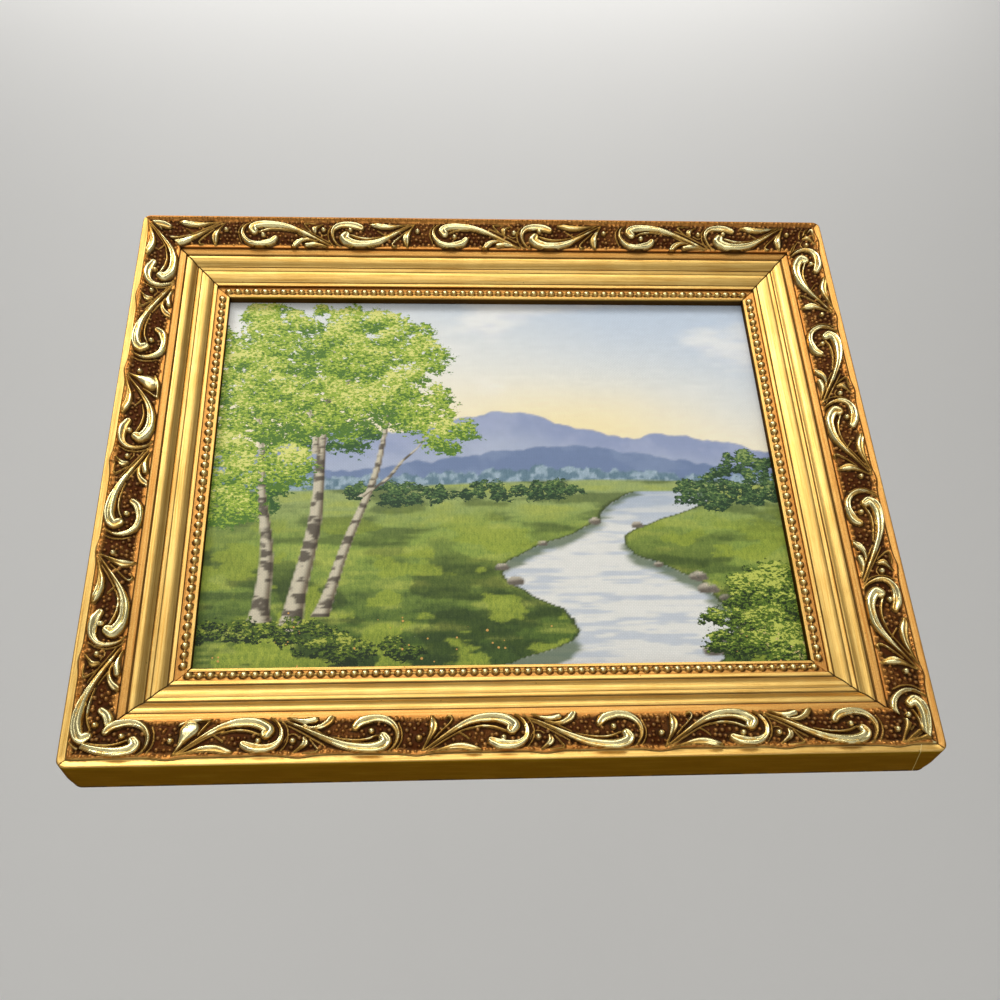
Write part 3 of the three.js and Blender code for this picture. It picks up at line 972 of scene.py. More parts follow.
@dataclass
class Moulding:
    """The frame's moulding. Widths run inward from the outer edge and drops run back."""

    depth: float = 21.5
    chamfer: float = 0.4
    lip_width: float = 2.2
    lip_drop: float = 0.7
    lip_plain: float = 0.6
    bed_width: float = 15.7
    bed_drop: float = 1.7
    bed_rise: float = 0.9
    bed_step: float = 0.65
    flat_width: float = 2.8
    flat_drop: float = 0.5
    quirk_width: float = 0.6
    quirk_depth: float = 0.35
    outer_band: Band = Band(4.5, 1.9, 0.7, 11)
    inner_band: Band = Band(4.7, 1.4, 0.5, 10)
    fillet_width: float = 1.2
    fillet_drop: float = 0.35
    channel_width: float = 4.6
    channel_depth: float = 1.4
    channel_drop: float = 0.4
    sight_width: float = 1.1
    sight_thickness: float = 4.0
    overlap: float = 6.5
    fine_step: float = 0.33
    side_rows: int = 8
    back_shares: tuple[float, ...] = (0.75, 0.5, 0.25, 0.02)

    @property
    def bed_start(self) -> float:
        """Where the ornament's bed starts, from the outer edge."""
        return self.chamfer + self.lip_width

    @property
    def bed_end(self) -> float:
        """Where the ornament's bed ends."""
        return self.bed_start + self.bed_width

    @property
    def channel_start(self) -> float:
        """Where the bead row's channel starts, after the bands, two fillets and the grooves."""
        bands = self.flat_width + self.outer_band.width + self.inner_band.width
        return self.bed_end + bands + 2 * self.fillet_width + 5.5 * self.quirk_width + self.quirk_width

    @property
    def seat_depth(self) -> float:
        """How far behind the lip the seat for the picture is."""
        return -next(row.out for row in self.rows() if row.part is Part.REBATE)

    def rows(self) -> list[Row]:
        """Draws the section once round, from the back of the outer side over the face.

        Returns:
            Its rows.
        """
        line = Section([Row(0.0, -self.depth, Part.SIDE, sharp=True)])
        line.run(0, self.chamfer - self.depth, self.side_rows, Part.SIDE, sharp=False)
        line.run(self.chamfer, -self.chamfer, 3, Part.LIP, rise=0.1, sharp=False)
        plain = self.lip_drop * self.lip_plain / self.lip_width
        line.run(self.lip_plain, plain, 1, Part.LIP, sharp=False)
        rest = self.lip_width - self.lip_plain
        line.run(rest, self.lip_drop - plain, self.fine_rows(rest), Part.BED, fine=True, sharp=False)
        bed_rows = self.fine_rows(self.bed_width)
        line.run(self.bed_width, self.bed_drop, bed_rows, Part.BED, rise=self.bed_rise, fine=True)
        # A hollow value darkens the row that ends a step or groove: grime, and painted shade in the
        # recess.
        line.run(0, self.bed_step, 1, Part.FLAT, hollow=0.8)
        line.run(self.flat_width, self.flat_drop, 4, Part.FLAT, rise=0.06)
        line.run(self.quirk_width, 2 * self.quirk_depth, 1, Part.FLAT, hollow=0.85)
        self.add_band(line, self.outer_band)
        line.run(self.fillet_width, self.fillet_drop, 2, Part.BAND)
        line.run(self.quirk_width / 2, self.quirk_depth, 1, Part.BAND, hollow=0.6)
        self.add_band(line, self.inner_band)
        line.run(self.fillet_width, self.fillet_drop / 2, 2, Part.BAND)
        line.run(0, self.channel_depth, 1, Part.CHANNEL, hollow=0.9)
        floor_rows = self.fine_rows(self.channel_width)
        line.run(self.channel_width, self.channel_drop, floor_rows, Part.CHANNEL, fine=True, hollow=0.5)
        line.run(0, -self.quirk_depth, 1, Part.SIGHT)
        line.run(self.sight_width, self.fillet_drop / 2, 2, Part.SIGHT, rise=0.05)
        line.run(0, self.sight_thickness, 3, Part.SIGHT)
        line.run(-self.overlap, 0, 2, Part.REBATE)
        line.run(0, line.rows[-1].out + self.depth, 2, Part.REBATE)
        back = line.rows[-1].inward
        return line.rows + [Row(back * share, -self.depth, Part.BACK) for share in self.back_shares]

    def fine_rows(self, width: float) -> int:
        """How many rows of the fine step a width has."""
        return round(width / self.fine_step)

    def add_band(self, line: Section, band: Band) -> None:
        """Adds a bowed band and the narrow groove after it.

        Args:
            line: The section so far.
            band: The band.
        """
        line.run(band.width, band.drop, band.rows, Part.BAND, rise=band.rise)
        line.run(self.quirk_width, self.quirk_depth, 1, Part.BAND, hollow=0.9)
        line.run(self.quirk_width, -self.quirk_depth, 1, Part.BAND)


class Form(Enum):
    """Cross-section of a carved ridge."""

    ROUND = "round"
    HOLLOW = "hollow"
    LINE = "line"


@dataclass(frozen=True)
class Scroll:
    """A carved ridge on a path whose points each have a place, a width and a height.

    The columns of points are along, inward, width and height.
    """

    form: Form
    points: tuple[tuple[float, ...], ...]
    steps: int = 5

    def height(self, along: Array, inward: Array, shift: Array, swell: float) -> Array:
        """Height over the bed, from the nearest place on the path.

        With x the distance to the path over half the width there, a round ridge is
        (1 - x^2.4)^0.55, a line is (1 - x^2), and a hollow leaf is the round ridge less a bell
        that is off its middle.

        Args:
            along: Places along the rail.
            inward: Places across it.
            shift: Along and inward shift of this copy.
            swell: Factor on this copy's width and height.

        Returns:
            The height at each place, zero off the ridge.
        """
        path = smooth_path(np.array(self.points), self.steps)
        line = path[:, :2] + shift
        reach = path[:, 2].max() * swell / 2
        low, high = line.min(axis=0) - reach, line.max(axis=0) + reach
        inside = (along > low[0]) & (along < high[0]) & (inward > low[1]) & (inward < high[1])
        result = np.zeros(along.shape)
        if not inside.any():
            return result
        point = np.stack([along[inside], inward[inside]], axis=-1)[:, None, :]
        start, run = line[None, :-1], np.diff(line, axis=0)[None]
        offset = point - start
        t = np.clip((offset * run).sum(-1) / (run * run).sum(-1), 0, 1)
        gap = offset - t[..., None] * run
        distance = np.hypot(gap[..., 0], gap[..., 1])
        nearest = distance.argmin(axis=1)
        pick = np.arange(len(nearest)), nearest
        share = t[pick][:, None]
        width, top = ((path[nearest, 2:] * (1 - share) + path[nearest + 1, 2:] * share) * swell).T
        turn = run[0, nearest, 0] * gap[pick][:, 1] - run[0, nearest, 1] * gap[pick][:, 0]
        x = np.clip(distance[pick] / (width / 2), 0, 1)
        form = 1 - x**2 if self.form is Form.LINE else np.maximum(1 - x**2.4, 0) ** 0.55
        if self.form is Form.HOLLOW:
            form = form * (1 - 0.4 * bell((x * np.sign(turn) + 0.25) / 0.3))
        result[inside] = top * form
        return result


@dataclass(frozen=True)
class Pearl:
    """A round boss on the bed."""

    along: float
    inward: float
    radius: float = 1.3
    top: float = 1.9

    def height(self, along: Array, inward: Array, shift: Array, swell: float) -> Array:
        """Half an ellipsoid: the top times the root of 1 - (distance / radius)^2."""
        distance = np.hypot(along - self.along - shift[0], inward - self.inward - shift[1])
        return swell * self.top * np.sqrt(np.clip(1 - (distance / self.radius) ** 2, 0, 1))


RISING_HALF = (
    Scroll(Form.HOLLOW, (
        (1.6, 3.9, 0.7, 0.7), (8.5, 8.8, 1.3, 1.3), (13.5, 12.3, 2.0, 1.8), (18.5, 15.1, 3.0, 2.2),
        (23.5, 16.4, 3.8, 2.4), (28.5, 16.5, 4.2, 2.4), (32.4, 15.3, 4.7, 2.4), (34.7, 13.3, 5.1, 2.3),
        (34.0, 11.6, 4.6, 2.1),
    )),
    Scroll(Form.LINE, (
        (2.4, 3.6, 0.6, 0.5), (9.6, 8.2, 0.7, 0.8), (15.0, 11.4, 0.8, 0.8), (19.0, 13.0, 0.8, 0.9),
    )),
    Scroll(Form.LINE, (
        (17.5, 12.3, 0.8, 0.9), (22.5, 13.4, 1.2, 1.2), (27.0, 13.1, 1.4, 1.3), (30.5, 11.9, 1.3, 1.2),
        (32.6, 10.9, 0.9, 0.9),
    )),
    Scroll(Form.HOLLOW, (
        (35.9, 17.9, 0.8, 0.8), (38.4, 15.6, 1.2, 1.3), (39.9, 12.0, 1.7, 1.7), (39.5, 8.6, 2.2, 2.0),
        (37.2, 6.3, 3.0, 2.2), (33.4, 5.5, 3.7, 2.3), (29.4, 6.0, 4.2, 2.2), (26.6, 7.2, 3.4, 1.9),
    )),
    Scroll(Form.LINE, (
        (38.2, 18.0, 0.6, 0.6), (40.6, 15.6, 0.7, 0.9), (41.8, 12.0, 0.7, 0.9), (41.4, 8.2, 0.7, 0.9),
        (39.2, 4.9, 0.6, 0.6),
    )),
    Scroll(Form.HOLLOW, (
        (3.0, 3.6, 0.7, 0.5), (8.0, 4.9, 1.6, 1.2), (12.0, 5.9, 2.8, 1.7), (16.0, 5.9, 3.4, 1.9),
        (19.4, 5.0, 3.1, 1.8), (21.6, 4.4, 2.0, 1.2),
    )),
    Scroll(Form.LINE, ((14.6, 11.4, 0.7, 0.8), (16.5, 10.2, 0.8, 0.9), (18.5, 8.6, 0.7, 0.8))),
)

NARROW_BUD = (
    Scroll(Form.HOLLOW, (
        (1.0, 4.0, 0.8, 0.7), (2.8, 7.4, 1.3, 1.1), (4.4, 10.6, 2.6, 1.6), (5.1, 13.2, 3.7, 1.9),
        (4.9, 15.6, 2.6, 1.6), (4.5, 17.6, 0.9, 0.9),
    )),
    Scroll(Form.LINE, (
        (5.4, 8.8, 0.7, 0.8), (8.0, 11.6, 0.8, 1.0), (10.8, 14.4, 0.9, 1.1), (12.0, 16.3, 1.1, 1.2),
        (11.2, 17.6, 1.3, 1.2), (9.9, 17.1, 0.9, 0.9),
    )),
)

WIDE_LEAF = (
    Scroll(Form.ROUND, (
        (1.2, 4.2, 0.8, 0.8), (3.2, 7.6, 1.8, 1.3), (4.6, 10.6, 4.2, 1.8), (5.6, 13.0, 6.6, 2.0),
        (6.6, 14.6, 7.0, 1.8),
    )),
    Scroll(Form.LINE, (
        (2.4, 15.4, 1.2, 1.4), (5.6, 16.8, 1.5, 1.5), (9.6, 17.2, 1.6, 1.5), (13.6, 17.3, 1.1, 1.2),
    )),
    Scroll(Form.LINE, ((13.4, 17.0, 1.0, 1.2), (11.6, 14.4, 1.2, 1.3), (9.6, 11.4, 0.9, 1.0))),
)

FALLING_HALF = (
    Scroll(Form.HOLLOW, (
        (40.5, 17.0, 0.9, 0.8), (45.5, 14.5, 1.2, 1.3), (51.0, 11.6, 1.6, 1.6), (56.5, 8.9, 2.3, 2.0),
        (61.5, 6.9, 3.0, 2.3), (66.5, 5.8, 3.8, 2.4), (71.5, 5.5, 4.3, 2.4), (75.2, 6.3, 4.6, 2.4),
        (77.0, 8.0, 4.7, 2.3), (76.2, 9.7, 4.1, 2.1),
    )),
    Scroll(Form.LINE, (
        (57.5, 9.9, 0.8, 0.9), (62.0, 8.9, 1.0, 1.1), (66.5, 8.4, 1.2, 1.2), (70.5, 8.8, 1.2, 1.2),
        (74.0, 10.2, 1.0, 1.0),
    )),
    Scroll(Form.LINE, (
        (39.6, 16.0, 0.6, 0.6), (44.5, 13.4, 0.7, 0.9), (50.0, 10.0, 0.8, 0.9), (55.0, 7.0, 0.7, 0.7),
    )),
    Scroll(Form.LINE, (
        (41.5, 18.0, 0.6, 0.6), (46.5, 15.8, 0.7, 0.9), (51.5, 12.9, 0.8, 0.9), (56.0, 10.4, 0.6, 0.7),
    )),
    Scroll(Form.HOLLOW, (
        (66.3, 13.6, 3.2, 1.8), (67.8, 15.4, 3.8, 2.2), (70.6, 16.5, 3.7, 2.4), (74.0, 17.0, 3.1, 2.4),
        (77.6, 16.3, 2.8, 2.3), (80.2, 14.2, 2.4, 2.0), (81.6, 11.2, 1.9, 1.7), (81.4, 8.0, 1.4, 1.4),
        (80.0, 5.4, 1.0, 1.1), (78.4, 3.8, 0.7, 0.7),
    )),
    Scroll(Form.LINE, (
        (82.2, 15.0, 0.6, 0.7), (83.4, 11.4, 0.7, 0.9), (83.2, 7.6, 0.7, 0.9), (81.4, 4.4, 0.6, 0.6),
    )),
    Scroll(Form.ROUND, (
        (41.8, 18.0, 0.8, 0.8), (44.6, 16.9, 1.4, 1.3), (48.0, 16.4, 2.4, 1.8), (51.2, 16.9, 2.6, 1.8),
    )),
    Scroll(Form.HOLLOW, (
        (46.8, 14.8, 0.8, 0.9), (50.2, 13.9, 1.3, 1.3), (53.4, 14.3, 2.0, 1.7), (56.0, 15.9, 2.9, 1.9),
        (57.4, 17.8, 2.6, 1.6),
    )),
    Scroll(Form.HOLLOW, (
        (44.4, 4.4, 0.9, 0.8), (46.4, 5.9, 1.5, 1.3), (48.1, 7.6, 2.7, 1.8), (47.8, 9.6, 1.6, 1.3),
    )),
    Scroll(Form.LINE, (
        (49.6, 9.6, 0.7, 0.9), (51.4, 7.4, 0.8, 1.0), (52.9, 4.9, 1.2, 1.1), (50.2, 4.3, 0.9, 0.9),
        (47.4, 4.2, 0.6, 0.6),
    )),
    Scroll(Form.LINE, (
        (40.6, 8.0, 0.5, 0.5), (41.8, 10.6, 0.6, 0.7), (44.0, 11.4, 0.6, 0.7), (46.0, 10.2, 0.6, 0.7),
    )),
)

PEARLS = (Pearl(0.0, 8.9), Pearl(31.0, 8.8), Pearl(43.6, 8.8), Pearl(72.0, 11.8))


@dataclass(frozen=True)
class Strip:
    """How the ornament lies on one rail.

    It has the place of the first bud, the outer edge, the copper of the plain lip beside it, and
    the number of the copy whose bud is the wide leaf.
    """

    first_bud: float
    edge: float
    lip_copper: float
    wide_leaf: int | None = None


STRIPS = {
    Side.BOTTOM: Strip(39.3, 3.2, 0.0, 0),
    Side.RIGHT: Strip(32.5, 3.1, 0.6),
    Side.TOP: Strip(17.5, 0.95, 0.9),
    Side.LEFT: Strip(3.2, 3.1, 0.15, 1),
}


@dataclass
class Ornament:
    """The running ornament of a rail: moulded composition laid in a strip on the bed."""

    moulding: Moulding
    side: Side
    length: float
    repeat: float = 89.5
    edge_bulge: float = 1.0
    least_lip: float = 1.2
    bulge_half_width: float = 4.5
    bulge_places: tuple[float, float] = (-1.2, 46.0)
    strip_thickness: float = 0.42
    sunk: float = 0.3
    dot_pitch: float = 2.4
    dot_row_share: float = 0.87
    dot_radius: float = 0.8
    dot_height: float = 0.78
    dot_room: float = 0.6
    dot_inset: float = 0.8
    dot_jitter: tuple[float, float] = (0.34, 0.28)
    dot_sizes: tuple[float, float] = (0.75, 1.2)
    open_below: float = 0.3
    jitter: float = 0.22
    swell: float = 0.05
    edge_wobble: float = 0.25
    worn_spot: tuple[float, float] = (4.4, 4.0)
    scroll_seed: int = 100
    dot_seed: int = 7

    def copies(self) -> list[tuple[int, float]]:
        """Number and bud's place of each copy that reaches the rail.

        Returns:
            Pairs of a number and a place.
        """
        first = STRIPS[self.side].first_bud
        last = math.ceil((self.length - first) / self.repeat)
        return [(k, first + k * self.repeat) for k in range(-1, last)]

    def scrolls(self, along: Array, inward: Array) -> Array:
        """Highest of all the scrolls and pearls at each place, each copy laid a little off.

        Args:
            along: Places along the rail.
            inward: Places across it.

        Returns:
            The height at each place.
        """
        draws = np.random.default_rng(self.scroll_seed + self.side.number)
        height = np.zeros(along.shape)
        for number, start in self.copies():
            bud = WIDE_LEAF if STRIPS[self.side].wide_leaf == number else NARROW_BUD
            for part in (*RISING_HALF, *bud, *FALLING_HALF, *PEARLS):
                shift = np.array([start, 0.0]) + draws.normal(0, self.jitter, 2)
                swell = 1 + draws.uniform(-self.swell, self.swell)
                height = np.maximum(height, part.height(along, inward, shift, swell))
        return height

    def dots(self, along: Array, inward: Array) -> Array:
        """Small pearls on a jittered lattice, wherever the ground round them is open.

        Each place looks only at the pearls of the lattice cells round it.

        Args:
            along: Places along the rail.
            inward: Places across it.

        Returns:
            The height at each place.
        """
        draws = np.random.default_rng(self.dot_seed + self.side.number)
        row_pitch = self.dot_pitch * self.dot_row_share
        start = STRIPS[self.side].edge + self.dot_inset
        rows = math.ceil((self.moulding.bed_end - start) / row_pitch)
        columns = math.ceil(self.length / self.dot_pitch) + 2
        number = np.arange(rows)[:, None]
        off_u, off_d = (draws.normal(0, jitter, (rows, columns)) for jitter in self.dot_jitter)
        u = (np.arange(columns) + number % 2 / 2) * self.dot_pitch + off_u
        d = start + number * row_pitch + off_d
        ring = np.array([(0, 0), (1, 0), (-1, 0), (0, 1), (0, -1)]) * self.dot_room
        crowd = [self.scrolls(u + a, d + b) for a, b in ring]
        size = draws.uniform(*self.dot_sizes, u.shape)
        tops = np.where(np.max(crowd, axis=0) < self.open_below, self.dot_height * size, 0)
        near_row = np.round((inward - start) / row_pitch).astype(int)
        height = np.zeros(along.shape)
        for row_step in (-1, 0, 1):
            row = np.clip(near_row + row_step, 0, rows - 1)
            near_column = np.floor(along / self.dot_pitch - (row % 2) / 2).astype(int)
            for column_step in (-1, 0, 1, 2):
                column = np.clip(near_column + column_step, 0, columns - 1)
                distance = np.hypot(along - u[row, column], inward - d[row, column])
                share = distance / (self.dot_radius * size[row, column])
                height = np.maximum(height, tops[row, column] * np.sqrt(np.clip(1 - share**2, 0, 1)))
        return height

    def outer_edge(self, along: Array) -> Array:
        """The strip's outer edge, which bulges outward by a bell curve at each bud.

        Args:
            along: Places along the rail.

        Returns:
            Its distance from the rail's outer edge.
        """
        straight = STRIPS[self.side].edge
        edge = np.full(along.shape, straight)
        reach = min(self.edge_bulge, max(straight - self.least_lip, 0.0))
        for _, start in self.copies():
            for bulge in self.bulge_places:
                edge = edge - reach * bell((along - start - bulge) / self.bulge_half_width)
        return edge + self.edge_wobble * (lattice_noise(along, along * 0, 9.0, 31) - 0.5)

    def lay(self, along: Array, inward: Array) -> tuple[Array, dict[str, Array]]:
        """Relief of the strip and what its finish needs to know.

        The ground is raised at the strip's edges and sunk in its middle, with a rope-like rim, and
        the higher of the scrolls and the dots stands on it. The finish's masks are S-curves of
        these heights and of the distance from the edge.

        Args:
            along: Places along the rail, on a grid.
            inward: Places across it.

        Returns:
            The height over the bed, and the finish's values by name.
        """
        past = inward - self.outer_edge(along)
        before = self.moulding.bed_end - inward
        scrolls = self.scrolls(along, inward) * smoothstep(-0.3, 0.5, past)
        dots = self.dots(along, inward) * smoothstep(0.2, 0.9, past)
        laid = smoothstep(0.0, 0.35, past)
        middle = smoothstep(0.8, 3.0, past) * smoothstep(0.2, 2.2, before)
        ground = self.strip_thickness * laid * (1 - middle) - self.sunk * middle
        rim = 0.42 * bell((past - 0.5) / 0.32)
        rough = 0.09 * (cloudy(along, inward, 1.6, 2, 61) - 0.5) * laid
        height = ground + rim + rough + np.maximum(scrolls, dots)
        # The strip's outer edge and the feet of the scrolls are painted dark: painted shadow where the
        # strip overlaps the lip, painted shade at the feet, and grime.
        groove = bell((past + 0.12) / 0.28)
        foot = smoothstep(0.05, 0.5, blurred(height, 3) - height) * laid
        deep = smoothstep(0.8, 3.4, past) * smoothstep(0.3, 2.8, before)
        deep = deep * (0.72 + 0.28 * smoothstep(0.36, 0.54, cloudy(along, inward, 8.0, 3, 63)))
        pearly = smoothstep(0.15, 0.55, dots)
        open_ground = (1 - smoothstep(0.12, 0.75, scrolls)) * laid
        flank = smoothstep(0.1, 0.4, scrolls) * (1 - smoothstep(0.8, 1.5, scrolls))
        broken = cloudy(along, inward, 3.0, 3, 62)
        # Crests and the tops of pearls and dots are painted pale: worn gilding, and painted highlight.
        crest = smoothstep(0.9, 1.8, scrolls + 1.5 * (broken - 0.5)) + 0.3 * smoothstep(0.45, 0.7, dots)
        if self.side is Side.BOTTOM:
            u, d = self.worn_spot
            crest = crest + bell(np.hypot(along - self.length + u, inward - d))
        return height, {
            "ground": open_ground * (0.1 + 0.88 * deep) * (1 - 0.42 * pearly),
            "copper": open_ground * 0.8 + (1 - laid) * STRIPS[self.side].lip_copper,
            "umber": flank * laid * 0.85,
            "worn": np.clip(crest, 0, 1),
            "hollow": np.clip(0.85 * groove + 0.85 * foot, 0, 1),
        }


@dataclass
class BeadRow:
    """A row of beads on a thin string, moulded in the rail's channel."""

    moulding: Moulding
    side: Side
    length: float
    pitch: float = 4.18
    radius: float = 1.5
    top: float = 1.42
    string_radius: float = 0.42
    string_top: float = 0.55
    swell: float = 0.06
    jitter: float = 0.06
    seed: int = 40

    def lay(self, along: Array, inward: Array) -> tuple[Array, dict[str, Array]]:
        """Relief of the beads: half an ellipsoid at each place, and a low ridge between them.

        Args:
            along: Places along the rail, on a grid.
            inward: Places across it.

        Returns:
            The height over the channel's floor, and the finish's values by name.
        """
        line = self.moulding.channel_start + self.moulding.channel_width / 2
        from_middle, aside = along - self.length / 2, inward - line
        count = math.floor((self.length - 2 * line) / self.pitch)
        half = (count - 1) / 2
        number = np.clip(np.round(from_middle / self.pitch + half), 0, count - 1).astype(int)
        draws = np.random.default_rng(self.seed + self.side.number)
        swell = 1 + draws.uniform(-self.swell, self.swell, count)[number]
        centre = (number - half) * self.pitch + draws.normal(0, self.jitter, count)[number]
        distance = np.hypot(from_middle - centre, aside) / (self.radius * swell)
        beads = self.top * swell * np.clip(1 - distance**2, 0, 1) ** 0.5
        strung = np.clip(1 - (aside / self.string_radius) ** 2, 0, 1)
        ends = smoothstep(0.0, 1.0, self.pitch * count / 2 - np.abs(from_middle))
        height = np.maximum(beads, self.string_top * strung * ends)
        height = height + 0.08 * (cloudy(along, inward, 1.2, 2, 73) - 0.5)
        floor = 1 - smoothstep(0.1, 0.6, height)
        return height, {
            "ground": 0.2 * floor,
            "copper": 0.7 * floor,
            "umber": 0.4 * smoothstep(0.15, 0.6, height) * (1 - smoothstep(0.8, 1.2, height)),
            # Bead tops are painted pale: worn gilding, and painted highlight.
            "worn": smoothstep(0.95, 1.38, height) * 0.72,
            # Round each bead's foot it is painted dark: painted contact shade, and grime.
            "hollow": 0.95 * smoothstep(0.04, 0.4, blurred(height, 2) - height),
        }


@dataclass
class Rail:
    """One rail of the frame: the moulding between two mitres, with its ornament and bead row."""

    side: Side
    place: FramePlace
    moulding: Moulding
    column_step: float = 0.66
    mitre_gap: float = 0.2
    corner_radius: float = 3.2
    corner_reach: float = 6.0
    knock: float = 0.5
    knock_heights: tuple[float, float] = (-13.0, -21.5)
    highest: float = 1.7
    seam_width: float = 0.34
    bruise_reach: float = 2.2
    wave_height: float = 0.09
    wave_length: float = 26.0
    rail_number_step: float = 37.0

    def grid(self, row: Row, count: int) -> tuple[Array, Array, Array]:
        """Places of a row's vertices, evenly spaced from mitre to mitre.

        Near each end a row close to the outer edge follows the rounded corner: a place at the
        distance e from the mitre is pushed in by r - r cos(a), with a = arccos(e / (r root 2)) - 45
        degrees, and the push fades out towards the corner's reach. The corner is knocked rounder
        towards the back.

        Args:
            row: The row.
            count: How many vertices it has.

        Returns:
            Their places along and across the rail, and their distances from the nearer mitre.
        """
        length = self.place.length(self.side)
        near = np.linspace(0.0, length - 2 * row.inward - self.mitre_gap, count)
        far = near[::-1]
        gap = np.minimum(near, far)
        knocked = float(smoothstep(*self.knock_heights, np.array(row.out)))
        r = self.corner_radius * (1 + self.knock * knocked)
        turn = np.arccos(np.clip(gap / (r * math.sqrt(2)), 0, 1)) - math.pi / 4
        push = np.where(gap < r, r - r * np.cos(turn), 0.0)
        across = row.inward + push * max(0.0, 1 - row.inward / self.corner_reach)
        half = self.mitre_gap / 2
        along = np.where(near < far, across + half + near, length - across - half - far)
        return along, across, gap

    def build(self, gilding: Material, wood: Material) -> Piece:
        """Makes the rail's mesh: rows of vertices joined in order, closed round the section and
        over both mitres. Where a coarse row meets a fine one, each face has five corners.

        Args:
            gilding: Finish of the face and the outer side.
            wood: Finish of the back and the rebate.

        Returns:
            The rail.
        """
        rows = self.moulding.rows()
        length = self.place.length(self.side)
        cells = round(length / self.column_step)
        counts = [cells * (2 if row.fine else 1) + 1 for row in rows]
        laid = [self.grid(row, count) for row, count in zip(rows, counts)]
        out = [np.full(count, row.out) for count, row in zip(counts, rows)]
        trios = zip(rows, rows[-1:] + rows[:-1], laid)
        values = [self.plain_values(row, before, u, gap) for row, before, (u, _, gap) in trios]
        for part, maker in ((Part.BED, Ornament), (Part.CHANNEL, BeadRow)):
            chosen = [r for r, row in enumerate(rows) if row.part is part and row.fine]
            along, inward = (np.array([laid[r][i] for r in chosen]) for i in (0, 1))
            height, extra = maker(self.moulding, self.side, length).lay(along, inward)
            for i, r in enumerate(chosen):
                out[r] = np.minimum(out[r] + height[i], self.highest)
                values[r].update({name: value[i] for name, value in extra.items()})
        for r, row in enumerate(rows):
            if row.part in (Part.BAND, Part.FLAT, Part.LIP):
                out[r] = out[r] + self.waviness(*laid[r][:2])

        points = [self.place.world(self.side, u, d, h) for (u, d, _), h in zip(laid, out)]
        quads, others, face_rows = self.faces(counts)
        wooden = np.array([row.part in (Part.REBATE, Part.BACK) for row in rows])
        face_material = np.roll(wooden, -1)[face_rows]
        name = f"{self.side.label}_gilt_rail"
        piece = make_piece(name, np.concatenate(points), quads, others, [gilding, wood], face_material)
        steps = np.hypot(np.diff([row.inward for row in rows]), np.diff([row.out for row in rows]))
        row_of = np.repeat(np.arange(len(counts)), counts)
        girth = np.concatenate([[0.0], np.cumsum(steps)])[row_of]
        along = np.concatenate([u for u, _, _ in laid])
        rail = np.full(len(along), self.rail_number_step * self.side.number)
        store(piece, "lay", np.stack([along, girth, rail], axis=1), "FLOAT_VECTOR")
        for name in values[0]:
            store(piece, name, np.concatenate([value[name] for value in values]))
        sharpen_rows(piece, row_of, np.array([row.sharp for row in rows]))
        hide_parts(f"{self.side.label}_rail")
        return piece

    def faces(self, counts: list[int]) -> tuple[Array, list[list[int]], Array]:
        """Joins the rows in a ring, and closes both ends.

        Args:
            counts: How many vertices each row has.

        Returns:
            The quads, the other faces, and for each face the row that it starts from.
        """
        starts = np.concatenate([[0], np.cumsum(counts)[:-1]])
        quads, quad_rows, others, other_rows = [], [], [], []
        for r, count in enumerate(counts):
            after = (r + 1) % len(counts)
            a, b = starts[r], starts[after]
            i = np.arange(min(count, counts[after]) - 1)
            if counts[after] == count:
                quads.append(np.stack([a + i, a + i + 1, b + i + 1, b + i], axis=1))
                quad_rows.append(np.full(len(i), r))
                continue
            if counts[after] > count:
                fives = [a + i, a + i + 1, b + 2 * i + 2, b + 2 * i + 1, b + 2 * i]
            else:
                fives = [a + 2 * i, a + 2 * i + 1, a + 2 * i + 2, b + i + 1, b + i]
            others.extend(np.stack(fives, axis=1).tolist())
            other_rows.append(np.full(len(i), r))
        others.append(starts.tolist())
        others.append((starts + np.array(counts) - 1)[::-1].tolist())
        other_rows.append(np.array([0, 0]))
        return np.concatenate(quads), others, np.concatenate([*quad_rows, *other_rows])

    def plain_values(self, row: Row, before: Row, along: Array, gap: Array) -> dict[str, Array]:
        """What the finish needs to know of a row that has no relief.

        Args:
            row: The row.
            before: The row before it.
            along: Places of its vertices.
            gap: Their distances from the nearer mitre.

        Returns:
            The finish's values by name.
        """
        none = np.zeros(len(along))
        part = row.part
        is_side = part is Part.SIDE
        copper = part.copper
        if part is Part.LIP:
            copper = max(copper, STRIPS[self.side].lip_copper)
        # The sight's inner side is painted dark in tone and hollow: painted shade along the picture's
        # edge, and grime.
        under = part is Part.SIGHT and row.out < before.out - 1
        back = smoothstep(-19.0, -21.4, none + row.out) * is_side
        chipped = smoothstep(0.4, 0.62, cloudy(along, along * 0, 5.0, 3, 91))
        bruise = bell(gap / self.bruise_reach) * smoothstep(-6.0, -20.0, none + row.out) * is_side
        # The mitre line is painted dark: a dark joint, and painted shade in the gap between rails.
        seam = bell(gap / self.seam_width) * part.seam
        dirt_and_shade = row.hollow + seam + back * (0.35 + 0.6 * chipped) + bruise + 0.8 * under
        return {
            "ground": none,
            "copper": none + copper,
            "umber": none + (0.25 if part is Part.FLAT else 0.0),
            "worn": none,
            "hollow": np.clip(dirt_and_shade, 0, 1),
            "side_tone_and_sight_shade": none + (1.0 if is_side or under else 0.0),
        }

    def waviness(self, along: Array, inward: Array) -> Array:
        """Slow unevenness of hand-finished gesso: noise of a few hundredths of a millimetre."""
        return self.wave_height * (cloudy(along, inward, self.wave_length, 3, 11) - 0.5)


@dataclass(frozen=True)
class Crown:
    """An ellipse of a tree or bush that is filled with fans of leaves, and how much light it gets."""

    across: float
    up: float
    half_width: float
    half_height: float
    fans: int
    light: float = 1.0


